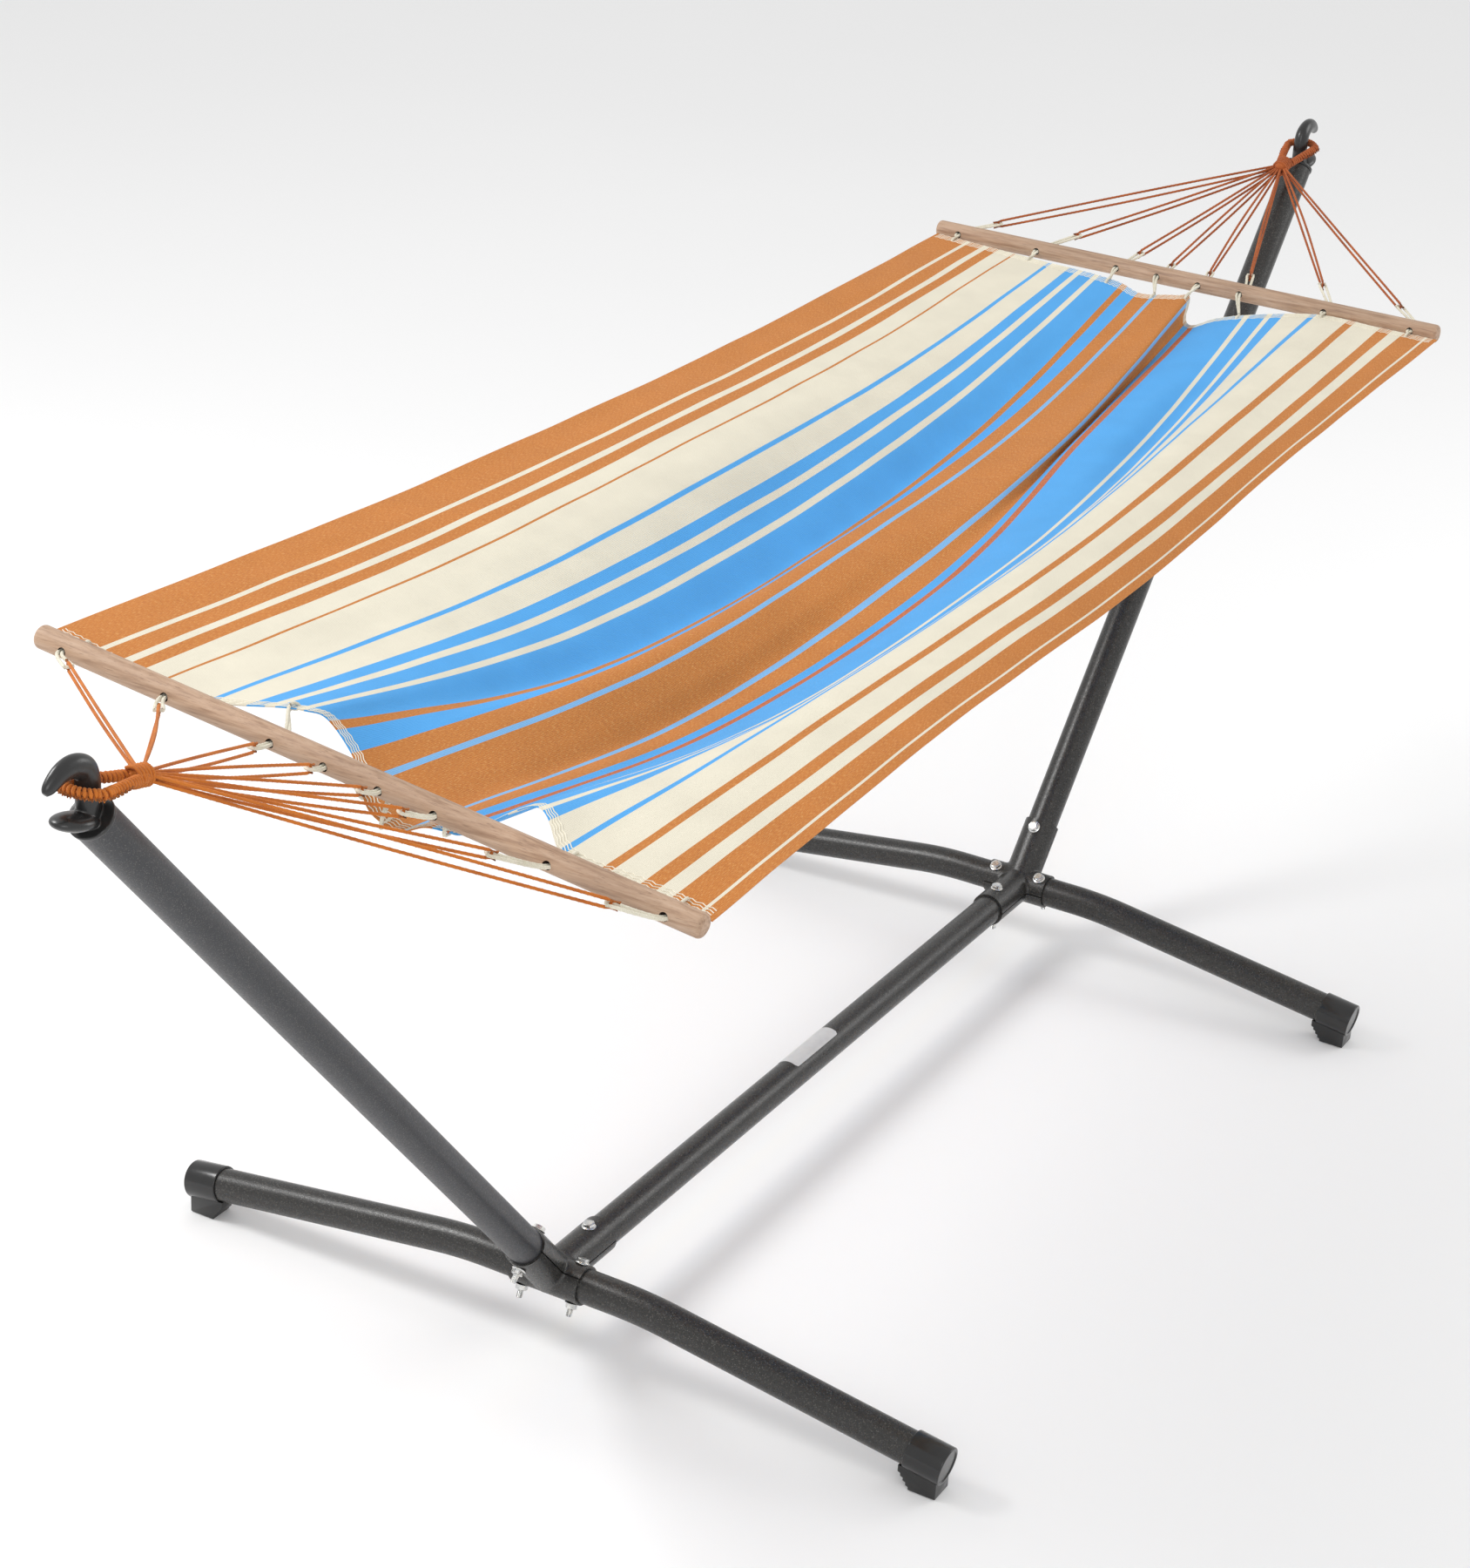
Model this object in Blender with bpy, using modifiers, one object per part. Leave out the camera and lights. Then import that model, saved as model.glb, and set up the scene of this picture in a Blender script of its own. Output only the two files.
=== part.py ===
"""Hammock on a bolted steel stand.

The stand is one ground spine, two bent foot tubes, two leaning arm tubes, and at each joint a pair of
pressed clamp shells held by four bolts. A plastic hook closes the top of each arm. The hammock hangs
between the hooks and swings as one body about the line through both hook seats.

Frame: metres, +Z up, origin on the ground below the middle, +X along the spine. The far end is +X and the
left side is +Y. The far half of the stand is modelled and the near half is the same shapes turned 180
degrees about Z.
"""
import math

import bmesh
import bpy
from mathutils import Matrix, Vector

for old_object in list(bpy.data.objects):
    bpy.data.objects.remove(old_object, do_unlink=True)

# ---- Driving dimensions, metres -------------------------------------------------------------------
GAP = 0.0003             # clearance between touching pieces
TUBE_R = 0.021           # spine and foot tube, 42 mm
ARM_R = 0.022            # arm tube, 44 mm
TUBE_WALL = 0.0015
JOINT_X = 0.626          # joint centre, half the joint spacing
SPINE_Z = 0.096          # height of the spine axis
ARM_ANGLE = math.radians(48.95)
ARM_TOP = 1.2060         # joint centre to the open top of the arm tube
TUBE_SETBACK = TUBE_R + 0.003
FOOT_HALF = 0.528        # foot tube end, from the middle
FOOT_SLOPE = math.radians(8.2)
FOOT_BEND_Y = 0.1275     # where the two straight runs would meet
FOOT_BEND_R = 0.55

SLEEVE_WALL = 0.0025
ARM_SLEEVE = 0.096
SPINE_SLEEVE = 0.104
FOOT_SLEEVE = 0.047
SEAM = 0.0008            # half the slit between the two shells
ARM_BOLT = 0.082
SPINE_BOLT = 0.078
FOOT_BOLT_Y = 0.035
BOLT_R = 0.0038
BOLT_HOLE_R = 0.0043
HEAD_R = 0.0075
HEAD_H = 0.0058
FLANGE_R = 0.0088
FLANGE_H = 0.0016
NUT_H = 0.0068
STUD = 0.009             # thread showing past the nut

CAP_R = 0.0237
CAP_LENGTH = 0.047
CAP_END = 0.003
PAD_HALF = 0.0165

SEAT_Z = 1.042           # hook seats: the swing axis
RING_BEND_X = 1.423      # centre of the ring's outer bend
RING_BEND_R = 0.021
RING_R = 0.006
RING_TILT = math.radians(12.0)
APEX_X = 1.352           # where the suspension cords gather

BAR_R = 0.013
BAR_HALF = 0.401
BAR_HOLE_R = 0.005
HOLE_PITCH = 0.0658
HOLE_STEPS = (5.5, 3.5, 1.5, 0.5, -0.5, -1.5, -3.5, -5.5)
CORD_R = 0.0016
LOOP_R = 0.0018
LOOP_HALF = 0.0026       # half the spacing of a loop's two strands
LINK_HALF = 0.0044       # half the spacing where loop and cord link

CLOTH = 0.004            # thickness of the cloth solid


class End:
    """One end of the hammock: side is +1 far, -1 near."""

    def __init__(self, name, side, bar_x, bar_y, bar_z, tilt, hem_sag, hem_inset):
        self.name = name
        self.side = side
        self.bar = Vector((side * bar_x, bar_y, bar_z))
        self.tilt = math.radians(tilt)
        self.hem_sag = hem_sag
        self.hem_inset = hem_inset

    def hole(self, step):
        reach = step * HOLE_PITCH
        return self.bar + Vector((0.0, reach * math.cos(self.tilt), reach * math.sin(self.tilt)))


NEAR = End("near", -1, 1.058, -0.027, 0.919, 6.4, 0.085, 0.040)
FAR = End("far", 1, 1.055, 0.0247, 0.909, 0.0, 0.031, 0.020)
BED_LOW = 0.138          # depth of the bed's hollow where it is deepest
BED_MID = 0.122
BED_FAR = 0.086
BED_WAIST = 0.020        # how far each long edge draws in at mid length
HEM_X = 0.0245           # bar axis to the hem at the outer edge


# ---- Helpers --------------------------------------------------------------------------------------
parts = bpy.data.collections.new("hammock_on_stand")
bpy.context.scene.collection.children.link(parts)


def material(name, color, roughness, metallic=0.0):
    new = bpy.data.materials.new(name)
    new.use_nodes = True
    shader = new.node_tree.nodes["Principled BSDF"]
    shader.inputs["Base Color"].default_value = (*color, 1.0)
    shader.inputs["Roughness"].default_value = roughness
    shader.inputs["Metallic"].default_value = metallic
    new.diffuse_color = (*color, 1.0)
    return new


STEEL = material("charcoal_powder_coat", (0.045, 0.045, 0.048), 0.45, 0.3)
ZINC = material("zinc_fastener", (0.62, 0.63, 0.64), 0.3, 1.0)
PLASTIC = material("black_plastic", (0.012, 0.012, 0.013), 0.3)
WOOD = material("oiled_wood", (0.42, 0.27, 0.17), 0.6)
ORANGE_CORD = material("orange_cord", (0.62, 0.20, 0.04), 0.8)
CREAM_CORD = material("cream_cord", (0.80, 0.76, 0.64), 0.85)
CLOTH_WEAVE = material("striped_cotton", (0.62, 0.42, 0.24), 0.9)
LABEL_FILM = material("white_label", (0.8, 0.8, 0.8), 0.4)


def add(name, mesh, matrix=None):
    new = bpy.data.objects.new(name, mesh)
    parts.objects.link(new)
    if matrix is not None:
        new.matrix_world = matrix
    return new


def bake(source):
    """The object's evaluated mesh in world space, as a plain mesh object of the same name."""
    bpy.context.view_layer.update()
    depsgraph = bpy.context.evaluated_depsgraph_get()
    mesh = bpy.data.meshes.new_from_object(source.evaluated_get(depsgraph))
    mesh.transform(source.matrix_world)
    work = bmesh.new()
    work.from_mesh(mesh)
    bmesh.ops.remove_doubles(work, verts=work.verts, dist=0.00001)
    work.to_mesh(mesh)
    work.free()
    name = source.name
    bpy.data.objects.remove(source, do_unlink=True)
    return add(name, mesh)


def combine(target, other, operation, keep=False):
    """Boolean of target with other, baked; other is removed unless kept."""
    change = target.modifiers.new(operation.lower(), "BOOLEAN")
    change.operation = operation
    change.solver = "EXACT"
    change.object = other
    result = bake(target)
    if not keep:
        bpy.data.objects.remove(other, do_unlink=True)
    return result


def cylinder(name, start, end, radius, sides=24, turn=0.0):
    axis = Vector(end) - Vector(start)
    middle = (Vector(start) + Vector(end)) / 2
    place = Matrix.Translation(middle) @ axis.to_track_quat("Z", "X").to_matrix().to_4x4()
    place = place @ Matrix.Rotation(turn, 4, "Z")
    mesh = bpy.data.meshes.new(name)
    work = bmesh.new()
    bmesh.ops.create_cone(work, cap_ends=True, segments=sides, radius1=radius, radius2=radius,
                          depth=axis.length, matrix=place)
    work.to_mesh(mesh)
    work.free()
    return add(name, mesh)


def ellipsoid(name, centre, radii, pitch=0.0, segments=16, rings=8):
    place = Matrix.Translation(Vector(centre)) @ Matrix.Rotation(pitch, 4, "Y")
    place = place @ Matrix.Diagonal((*radii, 1.0))
    mesh = bpy.data.meshes.new(name)
    work = bmesh.new()
    bmesh.ops.create_uvsphere(work, u_segments=segments, v_segments=rings, radius=1.0, matrix=place)
    work.to_mesh(mesh)
    work.free()
    return add(name, mesh)


def cord(name, points, radius, resolution=1, cyclic=False, caps=True, radii=None):
    """A round rod or open pipe along a list of points, as a mesh object."""
    curve = bpy.data.curves.new(name, "CURVE")
    curve.dimensions = "3D"
    curve.bevel_depth = radius
    curve.bevel_resolution = resolution
    curve.use_fill_caps = caps and not cyclic
    spline = curve.splines.new("POLY")
    spline.points.add(len(points) - 1)
    for index, point in enumerate(points):
        spline.points[index].co = (*point, 1.0)
        spline.points[index].radius = radii[index] / radius if radii else 1.0
    spline.use_cyclic_u = cyclic
    return bake(add(name, curve))


def pipe(name, points, radius, resolution=8):
    """Hollow steel tube: an open surface given its wall inward."""
    tube = cord(name, points, radius, resolution, caps=False)
    shell = tube.modifiers.new("wall", "SOLIDIFY")
    shell.thickness = TUBE_WALL
    shell.offset = -1.0
    return bake(tube)


def plate(name, outline, half, matrix):
    """A flat outline given thickness both ways, placed by its matrix."""
    curve = bpy.data.curves.new(name, "CURVE")
    curve.dimensions = "2D"
    curve.fill_mode = "BOTH"
    curve.extrude = half
    spline = curve.splines.new("POLY")
    spline.points.add(len(outline) - 1)
    for index, (u, v) in enumerate(outline):
        spline.points[index].co = (u, v, 0.0, 1.0)
    spline.use_cyclic_u = True
    return bake(add(name, curve, matrix))


def finish(target, look, sharp=35.0):
    target.data.materials.clear()
    target.data.materials.append(look)
    target.data.shade_smooth()
    target.data.set_sharp_from_angle(angle=math.radians(sharp))
    return target


def smooth_path(knots, per_span):
    """Catmull-Rom points through the knots; each knot is (x, z, radius)."""
    result = []
    for index in range(len(knots) - 1):
        a = knots[max(index - 1, 0)]
        b = knots[index]
        c = knots[index + 1]
        d = knots[min(index + 2, len(knots) - 1)]
        for step in range(per_span):
            t = step / per_span
            result.append(tuple(0.5 * ((2 * q) + (r - p) * t + (2 * p - 5 * q + 4 * r - s) * t * t
                                       + (3 * q - p - 3 * r + s) * t ** 3)
                                for p, q, r, s in zip(a, b, c, d)))
    result.append(tuple(knots[-1]))
    return result


# ---- Directions at the far joint ------------------------------------------------------------------
JOINT = Vector((JOINT_X, 0.0, SPINE_Z))
ARM_DIR = Vector((math.cos(ARM_ANGLE), 0.0, math.sin(ARM_ANGLE)))
ARM_IN = Vector((-math.sin(ARM_ANGLE), 0.0, math.cos(ARM_ANGLE)))
SPINE_DIR = Vector((-1.0, 0.0, 0.0))
UP = Vector((0.0, 0.0, 1.0))
CROTCH = (ARM_DIR + SPINE_DIR).normalized()
HALF_V = math.acos(ARM_DIR.dot(SPINE_DIR)) / 2
HALF_TURN = Matrix.Rotation(math.pi, 4, "Z")


def near_name(name):
    """The near twin's name: a half turn swaps left and right."""
    swapped = name.replace("left", "~").replace("right", "left").replace("~", "right")
    return "near_" + swapped


def both_ends(far_object, look):
    """Name the far piece and place its twin at the near end."""
    finish(far_object, look)
    name = far_object.name
    far_object.name = "far_" + name
    add(near_name(name), far_object.data, HALF_TURN)


# ---- Bolts ----------------------------------------------------------------------------------------
BOLT_GRIPS = {
    "arm": ARM_R + GAP + SLEEVE_WALL,
    "spine": TUBE_R + GAP + SLEEVE_WALL,
}


def bolt_mesh(name, grip):
    """Flanged hex bolt on the Z axis, bearing faces at plus and minus grip."""
    seat = grip + GAP
    body = cylinder(name, (0, 0, -seat - FLANGE_H - NUT_H - STUD), (0, 0, seat + 0.001), BOLT_R, 10)
    body = combine(body, cylinder("flange", (0, 0, seat), (0, 0, seat + FLANGE_H), FLANGE_R, 14), "UNION")
    body = combine(body, cylinder("hex", (0, 0, seat + 0.001), (0, 0, seat + HEAD_H), HEAD_R, 6), "UNION")
    finish(body, ZINC)
    mesh = body.data
    bpy.data.objects.remove(body, do_unlink=True)
    return mesh


def nut_mesh(name, grip):
    """Flanged hex nut below minus grip on the Z axis."""
    seat = -grip - GAP
    body = cylinder(name, (0, 0, seat - FLANGE_H), (0, 0, seat), FLANGE_R, 14)
    body = combine(body, cylinder("hex", (0, 0, seat - NUT_H), (0, 0, seat - 0.001), HEAD_R, 6), "UNION")
    body = combine(body, cylinder("bore", (0, 0, -0.05), (0, 0, 0), BOLT_R + GAP, 10), "DIFFERENCE")
    finish(body, ZINC)
    mesh = body.data
    bpy.data.objects.remove(body, do_unlink=True)
    return mesh


# name, point on the tube axis, direction from nut to head, grip
BOLTS = [
    ("arm", JOINT + ARM_DIR * ARM_BOLT, ARM_IN, "arm"),
    ("spine", JOINT + SPINE_DIR * SPINE_BOLT, UP, "spine"),
    ("foot_left", JOINT + Vector((0.0, FOOT_BOLT_Y, 0.0)), CROTCH, "spine"),
    ("foot_right", JOINT - Vector((0.0, FOOT_BOLT_Y, 0.0)), CROTCH, "spine"),
]
bolt_meshes = {key: bolt_mesh("bolt_" + key, grip) for key, grip in BOLT_GRIPS.items()}
nut_meshes = {key: nut_mesh("nut_" + key, grip) for key, grip in BOLT_GRIPS.items()}
for name, centre, direction, grip in BOLTS:
    place = Matrix.Translation(centre) @ direction.to_track_quat("Z", "Y").to_matrix().to_4x4()
    for kind, meshes in (("_bolt", bolt_meshes), ("_nut", nut_meshes)):
        add("far_" + name + kind, meshes[grip], place)
        add(near_name(name + kind), meshes[grip], HALF_TURN @ place)


def drill(target, bolt_names):
    """Cut the clearance holes of the named bolts through the target."""
    for name, centre, direction, grip in BOLTS:
        if name in bolt_names:
            cutter = cylinder("drill", centre - direction * 0.04, centre + direction * 0.04, BOLT_HOLE_R, 12)
            target = combine(target, cutter, "DIFFERENCE")
    return target


# ---- Stand tubes ----------------------------------------------------------------------------------
def foot_axis(y):
    """Height of the foot tube's axis at y: level in the middle, an arc, then a straight slope down."""
    y = abs(y)
    arc_start = FOOT_BEND_Y - FOOT_BEND_R * math.tan(FOOT_SLOPE / 2)
    arc_end = arc_start + FOOT_BEND_R * math.sin(FOOT_SLOPE)
    if y <= arc_start:
        return SPINE_Z
    if y <= arc_end:
        return SPINE_Z - FOOT_BEND_R + math.sqrt(FOOT_BEND_R ** 2 - (y - arc_start) ** 2)
    return SPINE_Z - (y - FOOT_BEND_Y) * math.tan(FOOT_SLOPE)


def foot_points():
    arc_start = FOOT_BEND_Y - FOOT_BEND_R * math.tan(FOOT_SLOPE / 2)
    arc_end = arc_start + FOOT_BEND_R * math.sin(FOOT_SLOPE)
    stations = [arc_start + (arc_end - arc_start) * step / 2 for step in range(3)] + [FOOT_HALF]
    stations = [-y for y in reversed(stations)] + stations
    return [(JOINT_X, y, foot_axis(y)) for y in stations]


spine = pipe("spine_tube", [(-JOINT_X + TUBE_SETBACK, 0, SPINE_Z), (JOINT_X - TUBE_SETBACK, 0, SPINE_Z)],
             TUBE_R)
spine = drill(spine, ("spine",))
near_drill = cylinder("drill", (-JOINT_X + SPINE_BOLT, 0, SPINE_Z - 0.04),
                      (-JOINT_X + SPINE_BOLT, 0, SPINE_Z + 0.04), BOLT_HOLE_R, 12)
finish(combine(spine, near_drill, "DIFFERENCE"), STEEL)

arm = pipe("arm_tube", [JOINT + ARM_DIR * TUBE_SETBACK, JOINT + ARM_DIR * ARM_TOP], ARM_R)
both_ends(drill(arm, ("arm",)), STEEL)
foot_tube = pipe("foot_tube", foot_points(), TUBE_R)
both_ends(drill(foot_tube, ("foot_left", "foot_right")), STEEL)

# ---- Clamp shells ---------------------------------------------------------------------------------
FOOT_LEFT = JOINT + Vector((0.0, FOOT_SLEEVE, 0.0))
FOOT_RIGHT = JOINT - Vector((0.0, FOOT_SLEEVE, 0.0))
STRETCH = 1.5            # the hollow runs on past each sleeve's mouth
SLEEVES = [
    (JOINT, JOINT + ARM_DIR * ARM_SLEEVE, JOINT + ARM_DIR * ARM_SLEEVE * STRETCH, ARM_R),
    (JOINT, JOINT + SPINE_DIR * SPINE_SLEEVE, JOINT + SPINE_DIR * SPINE_SLEEVE * STRETCH, TUBE_R),
    (FOOT_LEFT, FOOT_RIGHT, None, TUBE_R),
]


def sleeve_union(name, grow, hollow):
    """All three sleeves as one solid; the hollow version runs out of every mouth."""
    result = None
    for start, end, far_end, radius in SLEEVES:
        if hollow and far_end is None:
            start, end = JOINT + (start - JOINT) * STRETCH, JOINT + (end - JOINT) * STRETCH
        if hollow and far_end is not None:
            end = far_end
        piece = cylinder(name, start, end, radius + grow, 20, math.radians(9.0))
        result = piece if result is None else combine(result, piece, "UNION")
    return result


def v_wedge(offset):
    """The space inside the V between arm and spine, moved along its bisector by the seam."""
    corner = JOINT + CROTCH * (offset / math.sin(HALF_V))
    reach = 0.3
    outline = [corner, corner + ARM_DIR * reach, corner + CROTCH * reach * 1.6, corner + SPINE_DIR * reach]
    upright = Matrix.Rotation(math.radians(90.0), 4, "X")
    return plate("wedge", [(point.x, point.z) for point in outline], 0.1, upright)


for name, operation, offset in (("upper_clamp", "INTERSECT", SEAM), ("lower_clamp", "DIFFERENCE", -SEAM)):
    shell = sleeve_union(name, GAP + SLEEVE_WALL, False)
    shell = combine(shell, sleeve_union("hollow", GAP, True), "DIFFERENCE")
    shell = combine(shell, v_wedge(offset), operation)
    both_ends(drill(shell, ("arm", "spine", "foot_left", "foot_right")), STEEL)

# ---- Foot caps ------------------------------------------------------------------------------------
FOOT_RUN = Vector((0.0, -math.cos(FOOT_SLOPE), math.sin(FOOT_SLOPE)))
CAP_TIP = Vector((JOINT_X, FOOT_HALF, foot_axis(FOOT_HALF))) - FOOT_RUN * (CAP_END + GAP)


def pad_outline():
    """Side view of the ground pad: flat sole, stepped toe on the inner side, in (y, z)."""
    outer = CAP_TIP.y - 0.005
    inner = CAP_TIP.y - 0.040
    steps = 4
    rise = 0.0050
    run = 0.0036
    outline = [(outer, 0.0), (outer, SPINE_Z * 0.3), (inner - steps * run, SPINE_Z * 0.3)]
    for step in range(steps, 0, -1):
        outline.append((inner - step * run, step * rise))
        outline.append((inner - (step - 1) * run, step * rise - 0.0012))
    outline.append((inner, 0.0))
    return outline


cap = cylinder("foot_cap_left", CAP_TIP, CAP_TIP + FOOT_RUN * CAP_LENGTH, CAP_R)
upright_side = Matrix.Translation((JOINT_X, 0, 0)) @ Matrix(((0, 0, 1, 0), (1, 0, 0, 0), (0, 1, 0, 0), (0, 0, 0, 1)))
cap = combine(cap, plate("pad", pad_outline(), PAD_HALF, upright_side), "UNION")
bore_start = CAP_TIP + FOOT_RUN * CAP_END
cap = combine(cap, cylinder("bore", bore_start, bore_start + FOOT_RUN * 0.1, TUBE_R + GAP), "DIFFERENCE")
cap = combine(cap, cylinder("dish", CAP_TIP - FOOT_RUN * 0.002, CAP_TIP + FOOT_RUN * 0.0008, 0.0195), "DIFFERENCE")
both_ends(cap, PLASTIC)
about_joint = Matrix.Translation((JOINT_X, 0, 0)) @ HALF_TURN @ Matrix.Translation((-JOINT_X, 0, 0))
cap_mesh = bpy.data.objects["far_foot_cap_left"].data
add("far_foot_cap_right", cap_mesh, about_joint)
add("near_foot_cap_left", cap_mesh, HALF_TURN @ about_joint)

# ---- Hooks ----------------------------------------------------------------------------------------
ARM_MOUTH = JOINT + ARM_DIR * ARM_TOP
HORN = [
    (1.4235, 1.006, 0.0130),
    (1.4235, 1.024, 0.0132),
    (1.4235, 1.044, 0.0130),
    (1.4280, 1.058, 0.0125),
    (1.4430, 1.0655, 0.0115),
    (1.4600, 1.0640, 0.0100),
    (1.4750, 1.0560, 0.0072),
    (1.4800, 1.0520, 0.0035),
]
horn_path = smooth_path(HORN, 2)
hook = cord("hook", [(x, 0.0, z) for x, z, radius in horn_path], HORN[0][2], 3,
            radii=[radius for x, z, radius in horn_path])
hook.scale = (1.0, 0.80, 1.0)
hook = bake(hook)
for piece in (
    cylinder("plug", ARM_MOUTH - ARM_DIR * 0.06, ARM_MOUTH + ARM_DIR * 0.003, ARM_R - TUBE_WALL - GAP),
    cylinder("collar", ARM_MOUTH + ARM_DIR * GAP, ARM_MOUTH + ARM_DIR * 0.005, ARM_R + 0.0012),
    ellipsoid("lip", (1.4430, 0.0, 1.0120), (0.027, 0.0185, 0.0085), math.radians(-14.0)),
):
    hook = combine(hook, piece, "UNION")
both_ends(hook, PLASTIC)

# ---- Hammock: everything below swings about the seats ----------------------------------------------
pivot = bpy.data.objects.new("hammock_pivot", None)
pivot.location = (0.0, 0.0, SEAT_Z)
pivot.empty_display_size = 0.1
parts.objects.link(pivot)
bpy.context.view_layer.update()


def hang(target, look):
    finish(target, look)
    target.parent = pivot
    target.matrix_parent_inverse = pivot.matrix_world.inverted()
    return target


def bar_frame(end):
    return Matrix.Translation(end.bar) @ Matrix.Rotation(end.tilt, 4, "X")


def spreader_bar(end):
    """Round wooden bar with eased ends, bored for the loops."""
    rod = cylinder(end.name + "_spreader_bar", (0, -BAR_HALF, 0), (0, BAR_HALF, 0), BAR_R, 16)
    ease = rod.modifiers.new("eased_ends", "BEVEL")
    ease.width = 0.004
    ease.segments = 2
    ease.limit_method = "ANGLE"
    ease.angle_limit = math.radians(60.0)
    rod = bake(rod)
    rod.matrix_world = bar_frame(end)
    rod = bake(rod)
    for step in HOLE_STEPS:
        middle = end.hole(step)
        across = Vector((0.02, 0.0, 0.0))
        rod = combine(rod, cylinder("bore", middle - across, middle + across, BAR_HOLE_R, 8), "DIFFERENCE")
    return hang(rod, WOOD)


def mix(a, b, t):
    return a + (b - a) * t


def hem_edge(end, across):
    """Point of the hem on this end; across runs from -1 right to +1 left."""
    sag = math.cos(math.pi * across / 2) ** 2
    reach = (abs(end.bar.x) - HEM_X) - end.hem_inset * sag
    half = BAR_HALF - 0.002
    y = end.bar.y + across * half * math.cos(end.tilt)
    z = end.bar.z + across * half * math.sin(end.tilt) - end.hem_sag * bed_shape(across)
    return Vector((end.side * reach, y, z))


def bed_shape(across):
    """Depth across the bed as a share of its full depth: flat side panels, then a trough."""
    shoulder = 0.47
    shoulder_depth = 0.12
    side = abs(across)
    if side > shoulder:
        return shoulder_depth * (1 - side) / (1 - shoulder)
    return shoulder_depth + (1 - shoulder_depth) * math.cos(math.pi * side / (2 * shoulder)) ** 2


def bed_depth(along):
    """Depth of the trough from the near hem (0) to the far hem (1)."""
    knots = [(NEAR.hem_sag,), (BED_LOW,), (BED_MID,), (BED_FAR,), (FAR.hem_sag,)]
    path = smooth_path(knots, 12)
    place = min(max(along, 0.0), 1.0) * (len(path) - 1)
    index = min(int(place), len(path) - 2)
    return mix(path[index][0], path[index + 1][0], place - index)


def bed_point(along, across):
    near = hem_edge(NEAR, across)
    far = hem_edge(FAR, across)
    point = near.lerp(far, along)
    line = mix(NEAR.bar.z, FAR.bar.z, along)
    lean = mix(math.sin(NEAR.tilt), math.sin(FAR.tilt), along) * across * BAR_HALF
    point.z = line + lean - bed_depth(along) * bed_shape(across)
    point.y -= BED_WAIST * across * math.sin(math.pi * along)
    return point


LENGTH_STEPS = 14
WIDTH_STEPS = 18
bpy.ops.mesh.primitive_grid_add(x_subdivisions=LENGTH_STEPS, y_subdivisions=WIDTH_STEPS, size=2.0)
grid = bpy.context.object
for collection in list(grid.users_collection):
    collection.objects.unlink(grid)
parts.objects.link(grid)
grid.name = "hammock_cloth"
for vertex in grid.data.vertices:
    vertex.co = bed_point((vertex.co.x + 1) / 2, vertex.co.y)
thick = grid.modifiers.new("cloth", "SOLIDIFY")
thick.thickness = CLOTH
thick.offset = 0.0
hang(bake(grid), CLOTH_WEAVE)


# ---- Suspension: ring, cords and loops --------------------------------------------------------------
LOOP_OUT = {5.5: 0.055, 3.5: 0.060, 1.5: 0.038, 0.5: 0.024}
LINK_OVERLAP = CORD_R + LOOP_R + 0.0009


def gather_point(end):
    drop = (RING_BEND_X + RING_BEND_R - APEX_X) * math.tan(RING_TILT)
    return Vector((end.side * APEX_X, 0.0, SEAT_Z - drop))


def half_ring(count, radius, forward, sideways):
    """Offsets of a half circle from +sideways round the forward side to -sideways."""
    return [forward * radius * math.sin(math.pi * i / count) + sideways * radius * math.cos(math.pi * i / count)
            for i in range(count + 1)]


def link_at(end, step):
    """Outer mouth of the bar hole, direction to the gather point, and the link's place along it."""
    mouth = end.hole(step) + Vector((end.side * (BAR_R + 0.0025), 0, 0))
    direction = (gather_point(end) - mouth).normalized()
    return mouth, direction, mouth + direction * LOOP_OUT[abs(step)]


def clew(end):
    """The wrapped ring, its gathered root and eight doubled cords, as one solid."""
    apex = gather_point(end)
    inward = Vector((-end.side * math.cos(RING_TILT), 0, -math.sin(RING_TILT)))
    left = Vector((0, 1, 0))
    bend = Vector((end.side * RING_BEND_X, 0, SEAT_Z - RING_BEND_R * math.tan(RING_TILT)))
    root = 0.0075
    path = [apex + left * root * 0.8, apex - inward * 0.016 + left * root * 1.2]
    path += [bend + offset for offset in half_ring(6, RING_BEND_R, -inward, left)]
    path += [apex - inward * 0.016 - left * root * 1.2, apex - left * root * 0.8]
    body = cord(end.name + "_clew", path, RING_R, 2)
    body = combine(body, ellipsoid("root", apex, (0.0195, 0.0190, 0.0120)), "UNION")
    for step in HOLE_STEPS:
        mouth, direction, tip = link_at(end, step)
        aside = direction.cross(UP).normalized()
        above = aside.cross(direction).normalized()
        centre = tip - direction * (LINK_OVERLAP - LINK_HALF)
        points = [apex + above * LINK_HALF]
        points += [centre + offset for offset in half_ring(3, LINK_HALF, -direction, above)]
        points += [apex - above * LINK_HALF]
        body = combine(body, cord("strand", points, CORD_R, 1), "UNION")
    return hang(body, ORANGE_CORD)


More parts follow.
